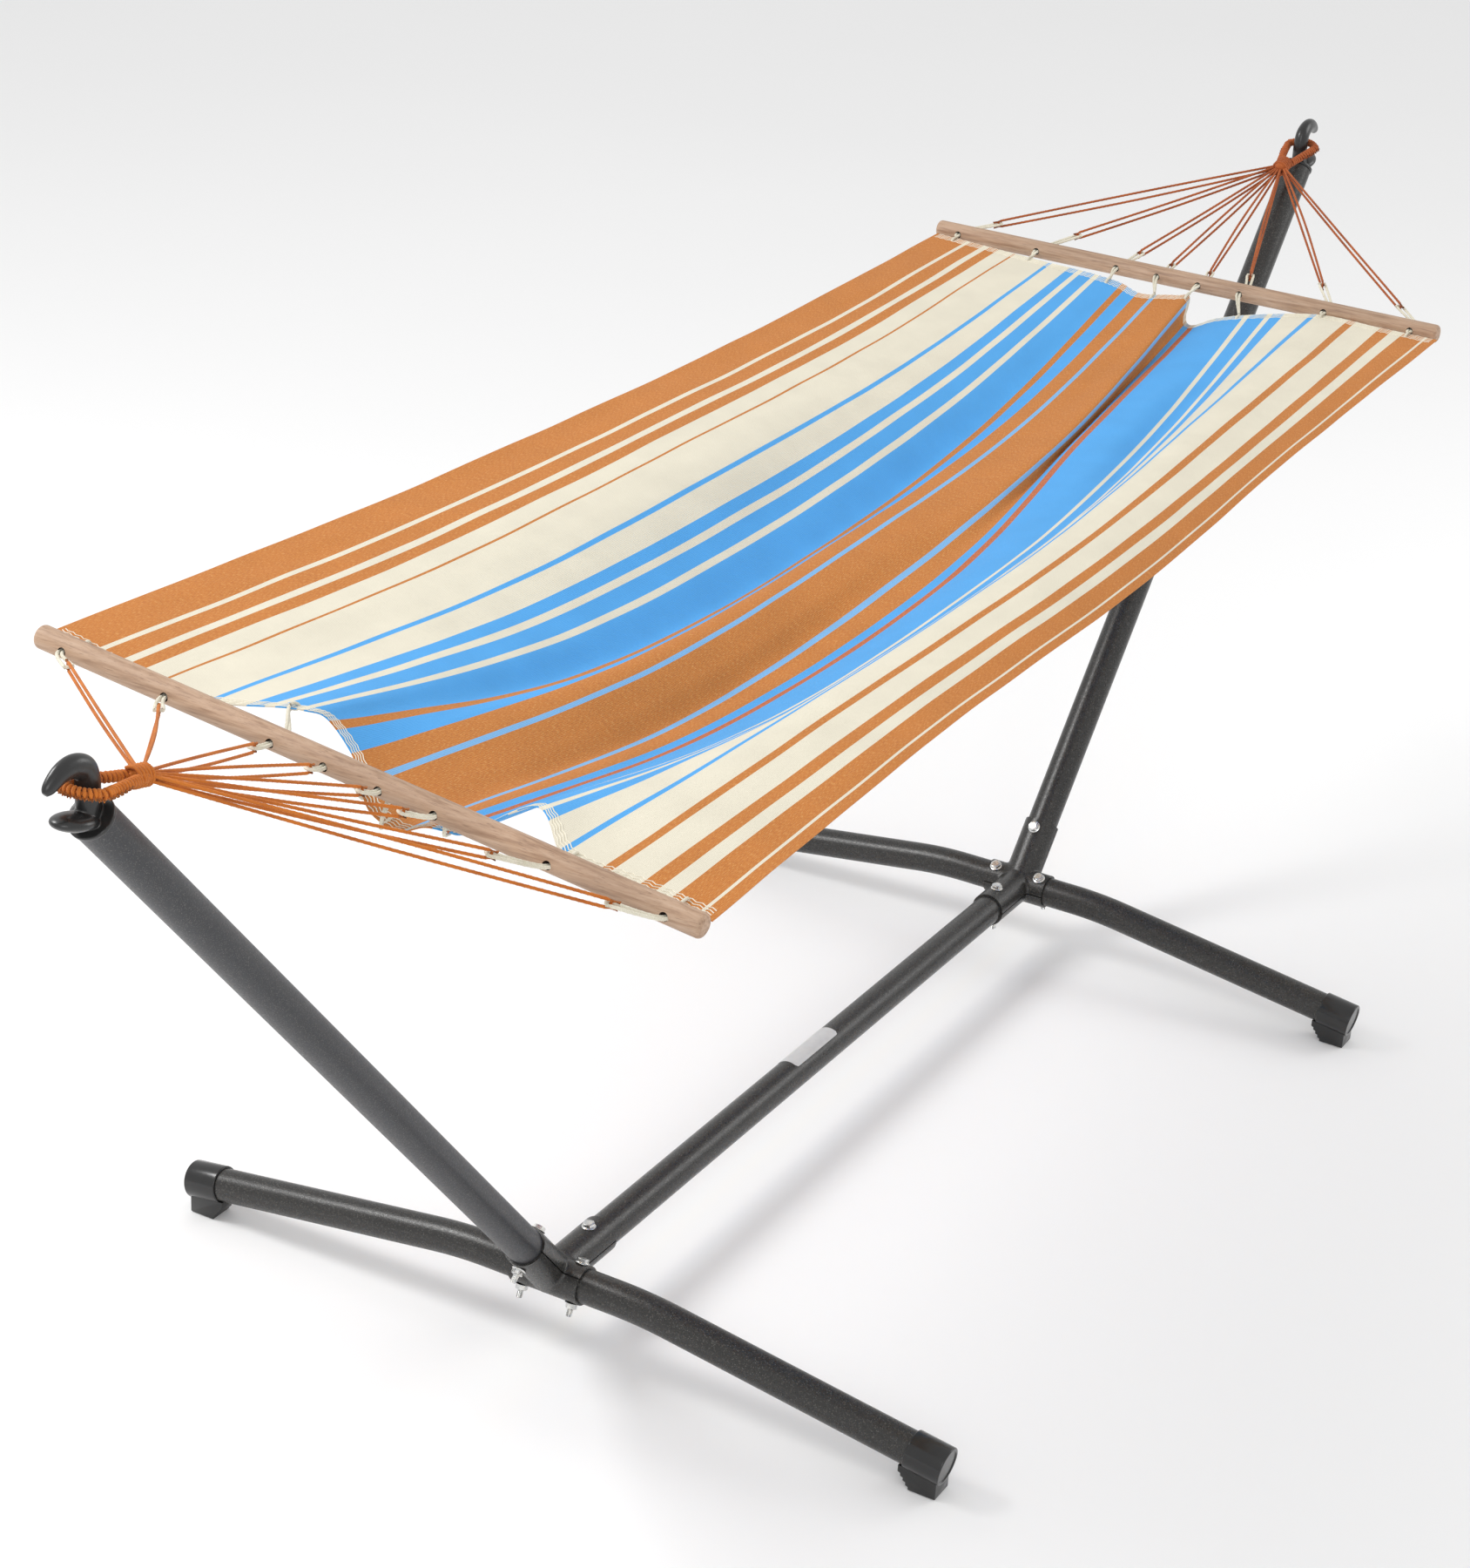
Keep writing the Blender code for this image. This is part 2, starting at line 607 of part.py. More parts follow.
def loop(end, index, step):
    """Closed cotton loop from the hem, through the bar, to its link with the orange cord."""
    mouth, direction, tip = link_at(end, step)
    inner = end.hole(step) - Vector((end.side * (BAR_R + 0.002), 0, 0))
    hem = hem_edge(end, step * HOLE_PITCH / BAR_HALF)
    to_hem = (hem - inner).normalized()
    hem_end = hem - to_hem * (LOOP_R + 0.0030 + LOOP_HALF)
    tip_centre = tip - direction * LINK_HALF
    across_x = Vector((0, -end.side, 0))
    aside = direction.cross(UP).normalized()
    hem_aside = -(to_hem.cross(UP).normalized())
    bend = (aside + across_x).normalized()
    hem_bend = (hem_aside + across_x).normalized()
    one_side = [inner + hem_bend * LOOP_HALF, mouth + bend * LOOP_HALF]
    other_side = [mouth - bend * LOOP_HALF, inner - hem_bend * LOOP_HALF]
    points = one_side + [tip_centre + o for o in half_ring(3, LINK_HALF, direction, aside)]
    points += other_side + [hem_end + o for o in half_ring(3, LOOP_HALF, to_hem, -hem_aside)]
    return hang(cord(f"{end.name}_loop_{index + 1}", points, LOOP_R, 1, cyclic=True), CREAM_CORD)


for end in (NEAR, FAR):
    spreader_bar(end)
    clew(end)
    for index, step in enumerate(HOLE_STEPS):
        loop(end, index, step)

# ---- Blank label on the spine -----------------------------------------------------------------------
LABEL_X = -0.006
LABEL_HALF = 0.055
LABEL_SPAN = math.radians(95.0)
LABEL_TURN = math.radians(-12.0)
LABEL_FILM_T = 0.0003
label_mesh = bpy.data.meshes.new("spine_label")
label_radius = TUBE_R + 0.0002
label_mesh.from_pydata([(-LABEL_HALF, 0, label_radius), (LABEL_HALF, 0, label_radius)], [(0, 1)], [])
label = add("spine_label", label_mesh)
sweep = label.modifiers.new("round_the_tube", "SCREW")
sweep.axis = "X"
sweep.angle = LABEL_SPAN
sweep.steps = 10
sweep.render_steps = 10
sweep.use_merge_vertices = False
film = label.modifiers.new("film", "SOLIDIFY")
film.thickness = LABEL_FILM_T
film.offset = -1.0
label.matrix_world = (Matrix.Translation((LABEL_X, 0, SPINE_Z))
                      @ Matrix.Rotation(LABEL_TURN - LABEL_SPAN / 2, 4, "X"))
finish(bake(label), LABEL_FILM)
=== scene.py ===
# %% [markdown]
# # A striped hammock on its bolted steel stand
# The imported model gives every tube, bolt, bar and cord its place. This lesson keeps those places and
# makes the fine surfaces: pressed steel, turned wood, twisted cord and a draped striped cloth.
# It starts by loading the model and noting its box, so that nothing grows past it later.

# %% Load the fixed frame
import math

import bmesh
import bpy
import numpy as np
from mathutils import Matrix, Vector
from mathutils import noise as fractal


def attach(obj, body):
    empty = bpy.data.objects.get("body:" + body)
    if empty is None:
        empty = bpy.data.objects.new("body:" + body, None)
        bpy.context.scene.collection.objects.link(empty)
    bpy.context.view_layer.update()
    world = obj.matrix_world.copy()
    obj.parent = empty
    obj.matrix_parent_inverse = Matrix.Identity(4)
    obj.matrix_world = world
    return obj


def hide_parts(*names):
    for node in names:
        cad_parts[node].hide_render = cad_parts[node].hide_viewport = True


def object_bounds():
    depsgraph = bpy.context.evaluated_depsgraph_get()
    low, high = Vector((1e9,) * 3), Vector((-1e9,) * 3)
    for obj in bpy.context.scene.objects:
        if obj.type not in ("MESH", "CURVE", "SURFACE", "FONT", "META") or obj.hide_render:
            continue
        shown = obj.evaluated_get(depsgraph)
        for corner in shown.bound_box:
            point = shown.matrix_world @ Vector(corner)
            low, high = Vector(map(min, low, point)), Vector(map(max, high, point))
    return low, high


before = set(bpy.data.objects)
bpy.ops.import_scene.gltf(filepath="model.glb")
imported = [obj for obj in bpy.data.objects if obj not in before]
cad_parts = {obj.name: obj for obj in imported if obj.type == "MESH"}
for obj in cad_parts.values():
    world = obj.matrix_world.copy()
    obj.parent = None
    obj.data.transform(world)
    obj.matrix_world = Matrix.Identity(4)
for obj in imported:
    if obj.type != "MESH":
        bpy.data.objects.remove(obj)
cad_low, cad_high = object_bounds()
scene = bpy.context.scene
print("frame box", [round(v, 3) for v in (*cad_low, *cad_high)])

# %% [markdown]
# ## The camera
# The hammock is seen from beyond its near end, a little to the right and well above, with a long lens.
# A long lens keeps the two ends at nearly the same scale, as a catalogue picture does.

# %% Camera
lens = bpy.data.cameras.new("camera")
lens.sensor_width = 36.0
lens.lens = 79.39
lens.shift_x = -0.03337
lens.shift_y = -0.00148
camera = bpy.data.objects.new("camera", lens)
scene.collection.objects.link(camera)
camera.location = (-3.5487, -1.8297, 2.3748)
camera.rotation_euler = [math.radians(angle) for angle in (64.75458, -3.34098, -60.35911)]
scene.camera = camera

# %% [markdown]
# ## Floor and light
# A pale floor and a bright, even sky stand in for a studio cove. One large soft lamp from the left and
# behind the camera gives the tubes their long highlight, and a smaller one fills the far side.

# %% Floor, sky and lamps
scene.view_settings.view_transform = "Standard"
FLOOR_HALF = 14.0


def area_lamp(name, place, aim, size, power):
    """A soft square lamp that points at aim."""
    light = bpy.data.lights.new(name, "AREA")
    light.shape = "SQUARE"
    light.size = size
    light.energy = power
    lamp = bpy.data.objects.new(name, light)
    scene.collection.objects.link(lamp)
    lamp.location = place
    lamp.rotation_euler = (Vector(aim) - Vector(place)).to_track_quat("-Z", "Y").to_euler()
    return lamp


area_lamp("key_lamp", (-1.6, 2.6, 3.4), (0.0, 0.0, 0.6), 1.3, 80.0)
area_lamp("front_lamp", (-4.2, -2.4, 3.0), (0.0, 0.0, 0.5), 2.2, 42.0)
area_lamp("far_lamp", (3.2, -2.6, 2.4), (0.3, 0.0, 0.6), 1.8, 30.0)
sky = bpy.data.worlds.new("sky")
sky.use_nodes = True
sky.node_tree.nodes["Background"].inputs["Color"].default_value = (1.0, 1.0, 1.0, 1.0)
sky.node_tree.nodes["Background"].inputs["Strength"].default_value = 0.80
scene.world = sky

# %% [markdown]
# ## A short way to build finishes
# Every finish below is a tree of texture nodes round one Principled shader. The helpers here add a node
# and wire its sockets in one line, so that each finish reads as a recipe.

# %% Helpers for finishes


class Finish:
    """One material in the making: a Principled shader and the nodes that feed it."""

    def __init__(self, name, roughness=0.5, metallic=0.0, **constants):
        self.material = bpy.data.materials.new(name)
        self.material.use_nodes = True
        self.tree = self.material.node_tree
        self.shader = self.tree.nodes["Principled BSDF"]
        self.shader.inputs["Roughness"].default_value = roughness
        self.shader.inputs["Metallic"].default_value = metallic
        for socket, value in constants.items():
            self.shader.inputs[socket.replace("_", " ")].default_value = value

    def plug(self, socket, value):
        """Wire a socket to another, or set it to a plain value."""
        if isinstance(value, bpy.types.NodeSocket):
            self.tree.links.new(value, socket)
        else:
            socket.default_value = value

    def node(self, kind, settings=(), **inputs):
        made = self.tree.nodes.new("ShaderNode" + kind)
        for key, value in dict(settings).items():
            setattr(made, key, value)
        for key, value in inputs.items():
            self.plug(made.inputs[key.replace("_", " ")], value)
        return made

    def place(self, kind="Object", scale=(1.0, 1.0, 1.0)):
        """Texture coordinates in metres, stretched by scale."""
        coordinates = self.node("TexCoord").outputs[kind]
        return self.node("Mapping", Vector=coordinates, Scale=scale).outputs["Vector"]

    def noise(self, where, scale, detail=3.0, roughness=0.5):
        made = self.node("TexNoise", Vector=where, Scale=scale, Detail=detail, Roughness=roughness)
        return made.outputs["Fac"]

    def ramp(self, factor, stops, interpolation="LINEAR"):
        """Colours along a 0 to 1 factor; a stop's colour is a grey number or three numbers."""
        made = self.node("ValToRGB", Fac=factor)
        made.color_ramp.interpolation = interpolation
        elements = made.color_ramp.elements
        while len(elements) < len(stops):
            elements.new(1.0)
        for element, (position, color) in zip(elements, stops):
            element.position = position
            color = (color,) * 3 if isinstance(color, float) else color
            element.color = (*color, 1.0)
        return made.outputs["Color"]

    def math(self, operation, a, b=0.0):
        made = self.node("Math", {"operation": operation})
        self.plug(made.inputs[0], a)
        self.plug(made.inputs[1], b)
        return made.outputs["Value"]

    def mix(self, factor, a, b, blend="MIX"):
        made = self.node("Mix", {"data_type": "RGBA", "blend_type": blend})
        self.plug(made.inputs[0], factor)
        self.plug(made.inputs[6], a if isinstance(a, bpy.types.NodeSocket) else (*a, 1.0))
        self.plug(made.inputs[7], b if isinstance(b, bpy.types.NodeSocket) else (*b, 1.0))
        return made.outputs[2]

    def color(self, value):
        self.plug(self.shader.inputs["Base Color"], value)

    def roughness(self, factor, low, high):
        span = self.node("MapRange", Value=factor, From_Min=0.25, From_Max=0.75, To_Min=low, To_Max=high)
        self.plug(self.shader.inputs["Roughness"], span.outputs["Result"])

    def bump(self, height, strength, distance, over=None):
        made = self.node("Bump", Height=height, Strength=strength, Distance=distance)
        if over is not None:
            self.plug(made.inputs["Normal"], over)
        self.plug(self.shader.inputs["Normal"], made.outputs["Normal"])
        return made.outputs["Normal"]


# %% [markdown]
# The floor is plain: a very pale matt surface with a whisper of mottling.

# %% Floor
floor_finish = Finish("studio_floor", roughness=0.9)
mottle = floor_finish.noise(floor_finish.place(), 0.6)
floor_finish.color(floor_finish.ramp(mottle, [(0.0, 0.93), (1.0, 0.96)]))
floor_mesh = bpy.data.meshes.new("floor")
work = bmesh.new()
bmesh.ops.create_grid(work, x_segments=2, y_segments=2, size=FLOOR_HALF)
work.to_mesh(floor_mesh)
work.free()
floor_mesh.materials.append(floor_finish.material)
floor = bpy.data.objects.new("floor", floor_mesh)
floor.location.z = cad_low.z - 0.001
scene.collection.objects.link(floor)

# %% [markdown]
# ## Finishes of the stand
# The spine, feet and clamps have a hammered powder coat: small round dimples that glitter where the
# light grazes them. The near arm has a smoother satin coat, a little lighter and bluer. A cell texture
# gives dimples, and a finer one picks spots where bright glints are painted into the colour.

# %% Powder coats


def powder_coat(name, dark, light, cell, depth, rough):
    coat = Finish(name, metallic=0.15, Specular_IOR_Level=0.5)
    where = coat.place()
    cells = coat.node("TexVoronoi", {"feature": "SMOOTH_F1"}, Vector=where, Scale=cell)
    clouds = coat.noise(where, 9.0, 4.0)
    flakes = coat.node("TexVoronoi", Vector=where, Scale=cell * 1.7).outputs["Color"]
    # painted glints: spots picked by the finer cells are painted bright in the colour as glitter
    painted_glints = coat.ramp(coat.node("SeparateColor", Color=flakes).outputs["Red"], [(0.90, 0.0), (0.97, 1.0)])
    base = coat.mix(clouds, dark, light)
    coat.color(coat.mix(coat.math("MULTIPLY", painted_glints, 0.5), base, (0.22, 0.21, 0.19)))
    coat.roughness(coat.noise(where, cell * 0.4, 2.0), rough - 0.07, rough + 0.09)
    grains = coat.bump(coat.noise(where, cell * 2.2, 2.0), 0.25, 0.0002)
    coat.bump(cells.outputs["Distance"], 0.35, depth, grains)
    return coat.material


HAMMERED = powder_coat("hammered_coat", (0.022, 0.021, 0.020), (0.034, 0.033, 0.031), 760.0, 0.0004, 0.30)
SATIN = powder_coat("satin_coat", (0.031, 0.032, 0.036), (0.044, 0.045, 0.050), 900.0, 0.0002, 0.40)

# %% [markdown]
# Zinc on bolts is bright and a little uneven, with a faint warm and cold tint where the plating varies.
# The plastic of caps and hooks is moulded: nearly smooth, with shallow flow marks and a soft gloss.

# %% Zinc, plastic and label film
zinc = Finish("bright_zinc", metallic=1.0)
where = zinc.place()
zinc.color(zinc.ramp(zinc.noise(where, 160.0), [(0.3, (0.62, 0.64, 0.66)), (0.7, (0.83, 0.81, 0.76))]))
zinc.roughness(zinc.noise(where, 700.0), 0.16, 0.34)
zinc.bump(zinc.noise(where, 1500.0), 0.15, 0.0001)
ZINC = zinc.material


def moulded_plastic(name, shade, low, high, grain):
    plastic = Finish(name, Coat_Weight=0.15, Coat_Roughness=0.2)
    where = plastic.place()
    plastic.color(plastic.ramp(plastic.noise(where, 40.0), [(0.3, shade), (0.7, shade * 1.5)]))
    plastic.roughness(plastic.noise(where, 260.0), low, high)
    plastic.bump(plastic.noise(where, grain, 4.0), 0.12, 0.0003)
    return plastic.material


CAP_PLASTIC = moulded_plastic("cap_plastic", 0.009, 0.16, 0.26, 500.0)
HOOK_PLASTIC = moulded_plastic("hook_plastic", 0.011, 0.26, 0.38, 900.0)

film = Finish("label_film", roughness=0.35)
film.color(film.ramp(film.noise(film.place(), 90.0), [(0.3, 0.52), (0.7, 0.58)]))
film.bump(film.noise(film.place(), 800.0), 0.1, 0.0001)
LABEL_FILM = film.material

# %% [markdown]
# ## Wood of the spreader bars
# The bars are pale, oiled hardwood turned on a lathe. Long grain runs with the bar, so the textures are
# squeezed along Y. Short dark pores and a few grey weathered patches sit on top.

# %% Wood
timber = Finish("oiled_wood", Sheen_Weight=0.05)
grain_place = timber.place(scale=(1.0, 0.055, 1.0))
rings = timber.noise(grain_place, 260.0, 5.0, 0.6)
pore_specks = timber.noise(timber.place(scale=(1.0, 0.035, 1.0)), 1300.0, 2.0)
pores = timber.ramp(pore_specks, [(0.60, 0.0), (0.72, 1.0)])
body_color = timber.ramp(rings, [
    (0.25, (0.27, 0.155, 0.092)),
    (0.5, (0.47, 0.305, 0.200)),
    (0.8, (0.60, 0.43, 0.31)),
])
broad = timber.ramp(timber.noise(timber.place(scale=(1.0, 0.25, 1.0)), 22.0), [(0.35, 0.80), (0.65, 1.0)])
toned = timber.mix(1.0, body_color, broad, "MULTIPLY")
timber.color(timber.mix(timber.math("MULTIPLY", pores, 0.55), toned, (0.12, 0.065, 0.04)))
timber.roughness(rings, 0.48, 0.68)
timber.bump(rings, 0.25, 0.0005)
WOOD = timber.material

# %% [markdown]
# ## Twisted cord
# Cotton cord is three plies laid round each other. The plies are modelled, and the finish only adds
# fibres: fine noise and broader patches that vary the colour, with roughness and bumps from the fine noise.

# %% Cord finishes


def cord_finish(name, deep, bright):
    cotton = Finish(name, Sheen_Weight=0.08, Sheen_Roughness=0.5)
    where = cotton.place()
    fibres = cotton.noise(where, 1400.0, 3.0)
    patches = cotton.noise(where, 35.0, 2.0)
    shade = cotton.math("ADD", cotton.math("MULTIPLY", fibres, 0.6), cotton.math("MULTIPLY", patches, 0.4))
    cotton.color(cotton.ramp(shade, [(0.32, deep), (0.62, bright)]))
    cotton.roughness(fibres, 0.72, 0.92)
    cotton.bump(fibres, 0.45, 0.0004)
    return cotton.material


ORANGE_CORD = cord_finish("orange_cord", (0.36, 0.085, 0.008), (0.66, 0.195, 0.018))
# painted shade: a darker copy of the orange cord finish, for the far clew whose cords lie in shade
SHADED_CORD = cord_finish("orange_cord_in_shade", (0.24, 0.050, 0.010), (0.48, 0.115, 0.020))
CREAM_CORD = cord_finish("cream_cord", (0.55, 0.50, 0.38), (0.83, 0.79, 0.66))
THREAD = cord_finish("cream_thread", (0.66, 0.61, 0.48), (0.90, 0.86, 0.74))

# %% [markdown]
# ## Helpers for making pieces
# Nearly every part of a hammock is a line with thickness: tube, bar, cord. One sweep makes them all. It
# walks a path, keeps its cross directions from spinning, and lays a ring of points at each step.

# %% Sweep and piece helpers
FINE = "_fine"


def piece(name, mesh, finishes, body, replaced=(), sharp=40.0):
    """A finished mesh object that rides a body and stands for frame nodes."""
    if not any(mesh.materials):
        mesh.materials.clear()
    for finish in finishes:
        if finish.name not in mesh.materials:
            mesh.materials.append(finish)
    mesh.shade_smooth()
    mesh.set_sharp_from_angle(angle=math.radians(sharp))
    made = bpy.data.objects.new(name, mesh)
    scene.collection.objects.link(made)
    bpy.context.view_layer.update()
    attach(made, body)
    if replaced:
        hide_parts(*replaced)
    return made


def path_frames(path, cyclic=False):
    """Side and up directions at each path point, turning no more than the path does."""
    last = len(path) - 1
    result = []
    side = None
    for index, point in enumerate(path):
        before = path[index - 1] if index or cyclic else point
        after = path[(index + 1) % (last + 1)] if index < last or cyclic else point
        tangent = (after - before).normalized()
        if side is None:
            side = tangent.orthogonal().normalized()
        side = (side - tangent * side.dot(tangent)).normalized()
        result.append((side, tangent.cross(side)))
    return result


def sweep(path, section, cyclic=False, caps=True):
    """Points and faces of a skin: section(index) gives the ring of (side, up) offsets."""
    points = []
    rings = []
    for index, (point, (side, up)) in enumerate(zip(path, path_frames(path, cyclic))):
        ring = section(index)
        rings.append(range(len(points), len(points) + len(ring)))
        points += [point + side * a + up * b for a, b in ring]
    count = len(rings[0])
    pairs = list(zip(rings, rings[1:])) + ([(rings[-1], rings[0])] if cyclic else [])
    faces = []
    for low, high in pairs:
        for k in range(count):
            after = (k + 1) % count
            faces.append((low[k], low[after], high[after], high[k]))
    if caps and not cyclic:
        faces.append(tuple(reversed(rings[0])))
        faces.append(tuple(rings[-1]))
    return points, faces


def circle(radius, sides, squeeze=1.0):
    turn = 2 * math.pi / sides
    return [(radius * math.cos(turn * k), radius * squeeze * math.sin(turn * k)) for k in range(sides)]


def mesh_of(name, *skins):
    """One mesh from several (points, faces) skins."""
    points = []
    faces = []
    for skin_points, skin_faces in skins:
        start = len(points)
        points += [tuple(p) for p in skin_points]
        faces += [tuple(start + k for k in face) for face in skin_faces]
    mesh = bpy.data.meshes.new(name)
    mesh.from_pydata(points, [], faces)
    work = bmesh.new()
    work.from_mesh(mesh)
    bmesh.ops.recalc_face_normals(work, faces=work.faces)
    work.to_mesh(mesh)
    work.free()
    return mesh


def smooth_path(knots, spacing, cyclic=False):
    """Points at most spacing apart on a smooth curve through the knots."""
    knots = [Vector(k) for k in knots]
    count = len(knots)
    result = []
    for index in range(count if cyclic else count - 1):
        if cyclic:
            a, b, c, d = (knots[(index + shift) % count] for shift in (-1, 0, 1, 2))
        else:
            b, c = knots[index], knots[index + 1]
            a = knots[index - 1] if index else b * 2 - c
            d = knots[index + 2] if index + 2 < count else c * 2 - b
        steps = max(2, math.ceil((c - b).length / spacing))
        for step in range(steps):
            t = step / steps
            cubic = b * 2 + (c - a) * t + (a * 2 - b * 5 + c * 4 - d) * t * t
            result.append((cubic + (b * 3 - a - c * 3 + d) * t ** 3) * 0.5)
    if not cyclic:
        result.append(knots[-1])
    return result


# %% [markdown]
# A fine solid is often a joining or cutting of plainer ones. The boolean helper bakes each step, so the
# result is one clean skin. A voxel remesh followed by smoothing rounds every inner corner, as moulded
# plastic and pressed sheet have.

# %% Solid helpers


def solid(name, *skins, finish=None):
    """A temporary object to be joined, cut or rounded."""
    mesh = mesh_of(name, *skins)
    if finish is not None:
        mesh.materials.append(finish)
    made = bpy.data.objects.new(name, mesh)
    scene.collection.objects.link(made)
    return made


def rod_solid(name, start, end, radius, sides=48, finish=None):
    path = [Vector(start), (Vector(start) + Vector(end)) / 2, Vector(end)]
    return solid(name, sweep(path, lambda index: circle(radius, sides)), finish=finish)


def bake(made):
    """Apply the modifiers of a temporary object in place."""
    bpy.context.view_layer.update()
    depsgraph = bpy.context.evaluated_depsgraph_get()
    old = made.data
    made.data = bpy.data.meshes.new_from_object(made.evaluated_get(depsgraph))
    made.modifiers.clear()
    bpy.data.meshes.remove(old)
    return made


def cut(made, other, operation="DIFFERENCE"):
    change = made.modifiers.new("cut", "BOOLEAN")
    change.operation = operation
    change.solver = "EXACT"
    change.material_mode = "TRANSFER"
    change.object = other
    bake(made)
    bpy.data.objects.remove(other, do_unlink=True)
    return made


def soften(made, voxel, rounds):
    """Rebuild the skin at one cell size and smooth its corners."""
    remesh = made.modifiers.new("remesh", "REMESH")
    remesh.mode = "VOXEL"
    remesh.voxel_size = voxel
    relax = made.modifiers.new("relax", "SMOOTH")
    relax.factor = 0.5
    relax.iterations = rounds
    return bake(made)


def take_mesh(made):
    """Keep the mesh of a temporary object and drop the object."""
    mesh = made.data
    bpy.data.objects.remove(made, do_unlink=True)
    return mesh


# %% [markdown]
# ## The stand's tubes
# The stand is cut from two sizes of steel tube. The arms are a little thicker than the spine and feet.
# Each is drawn as an outer and an inner skin joined by a rounded rim, on the same axis as the frame has.

# %% Sizes of the stand
TUBE_R = 0.021
ARM_R = 0.022
TUBE_WALL = 0.0015
TUBE_SIDES = 72
JOINT_X = 0.626
SPINE_Z = 0.096
ARM_ANGLE = math.radians(48.95)
ARM_TOP = 1.2060
TUBE_SETBACK = TUBE_R + 0.003
FOOT_HALF = 0.528
FOOT_SLOPE = math.radians(8.2)
FOOT_BEND_Y = 0.1275
FOOT_BEND_R = 0.55
UP = Vector((0.0, 0.0, 1.0))
JOINT = Vector((JOINT_X, 0.0, SPINE_Z))
ARM_DIR = Vector((math.cos(ARM_ANGLE), 0.0, math.sin(ARM_ANGLE)))
ARM_IN = Vector((-math.sin(ARM_ANGLE), 0.0, math.cos(ARM_ANGLE)))
SPINE_DIR = Vector((-1.0, 0.0, 0.0))
CROTCH = (ARM_DIR + SPINE_DIR).normalized()
HALF_TURN = Matrix.Rotation(math.pi, 4, "Z")


def foot_axis(y):
    """Height of the foot tube's axis: level, an arc, then a straight slope down."""
    arc_start = FOOT_BEND_Y - FOOT_BEND_R * math.tan(FOOT_SLOPE / 2)
    arc_end = arc_start + FOOT_BEND_R * math.sin(FOOT_SLOPE)
    if abs(y) <= arc_start:
        return SPINE_Z
    if abs(y) <= arc_end:
        return SPINE_Z - FOOT_BEND_R + math.sqrt(FOOT_BEND_R ** 2 - (abs(y) - arc_start) ** 2)
    return SPINE_Z - (abs(y) - FOOT_BEND_Y) * math.tan(FOOT_SLOPE)


def tube_skin(path, radius):
    """A hollow tube as one closed skin: out along the outside, round the rim and back inside."""
    rim = TUBE_WALL / 3
    inner = radius - TUBE_WALL
    first = (path[1] - path[0]).normalized()
    final = (path[-1] - path[-2]).normalized()
    outward = [path[0] + first * rim] + path[1:-1] + [path[-1] - final * rim]
    walk = [path[0]] + outward + [path[-1]]
    radii = [radius - rim] + [radius] * len(outward) + [radius - rim]
    walk_back = [path[-1]] + list(reversed(outward)) + [path[0]]
    radii_back = [inner + rim] + [inner] * len(outward) + [inner + rim]
    out_points, _ = sweep(walk, lambda k: circle(radii[k], TUBE_SIDES), caps=False)
    count = len(out_points)
    in_points = []
    frames = path_frames(walk)
    for k, point in enumerate(walk_back):
        side, up = frames[len(walk) - 1 - k]
        in_points += [point + side * a + up * b for a, b in circle(radii_back[k], TUBE_SIDES)]
    rings = len(walk) + len(walk_back)
    faces = []
    for ring in range(rings):
        following = (ring + 1) % rings
        for k in range(TUBE_SIDES):
            after = (k + 1) % TUBE_SIDES
            low = ring * TUBE_SIDES
            high = following * TUBE_SIDES
            faces.append((low + k, low + after, high + after, high + k))
    return out_points + in_points, faces


def both_ends(name, mesh, finishes, twin=None):
    """The far piece, and its twin half a turn about Z; twin is the near name if sides swap."""
    near_mesh = mesh.copy()
    near_mesh.transform(HALF_TURN)
    piece("far_" + name + FINE, mesh, finishes, "stand", ["far_" + name])
    near = "near_" + (twin or name)
    piece(near + FINE, near_mesh, finishes, "stand", [near])


def straight(start, end, steps):
    return [start.lerp(end, k / steps) for k in range(steps + 1)]


# %% Build the five tubes
STRAIGHT_STEPS = 24
spine_start = Vector((TUBE_SETBACK - JOINT_X, 0, SPINE_Z))
spine_end = Vector((JOINT_X - TUBE_SETBACK, 0, SPINE_Z))
spine_path = straight(spine_start, spine_end, STRAIGHT_STEPS)
piece("spine_tube" + FINE, mesh_of("spine", tube_skin(spine_path, TUBE_R)), [HAMMERED], "stand",
      ["spine_tube"])
arm_path = straight(JOINT + ARM_DIR * TUBE_SETBACK, JOINT + ARM_DIR * ARM_TOP, STRAIGHT_STEPS)
arm_mesh = mesh_of("arm", tube_skin(arm_path, ARM_R))
both_ends("arm_tube", arm_mesh, [HAMMERED])
bpy.data.objects["near_arm_tube" + FINE].data.materials[0] = SATIN
FOOT_STEPS = 88
foot_path = [Vector((JOINT_X, FOOT_HALF * (2 * k / FOOT_STEPS - 1), 0)) for k in range(FOOT_STEPS + 1)]
for point in foot_path:
    point.z = foot_axis(point.y)
both_ends("foot_tube", mesh_of("foot", tube_skin(foot_path, TUBE_R)), [HAMMERED])
print("tubes built, arm length", round((arm_path[-1] - arm_path[0]).length, 3))

# %% [markdown]
# ## The clamps
# At each joint two pressed shells wrap the arm, the spine and the foot tube. Sheet metal can't turn a
# sharp inside corner, so the three sleeves are joined, remeshed and smoothed to get soft valleys. Then
# the mouths are cut square, the hollow is bored and the slit between the shells is opened.

# %% Clamp shells
SLEEVE_WALL = 0.0025
GAP = 0.0003
ARM_SLEEVE = 0.096
SPINE_SLEEVE = 0.104
FOOT_SLEEVE = 0.047
SEAM = 0.0008
OVERRUN = 0.018
CLAMP_VOXEL = 0.0016
CLAMP_ROUNDS = 14
SHRINK_ALLOWANCE = 0.0004
SLEEVE_SIDES = 64
MOUTH_BLOCK = 0.06
FOOT_DIR = Vector((0.0, 1.0, 0.0))
SLEEVES = [(ARM_DIR, ARM_SLEEVE, ARM_R), (SPINE_DIR, SPINE_SLEEVE, TUBE_R)]


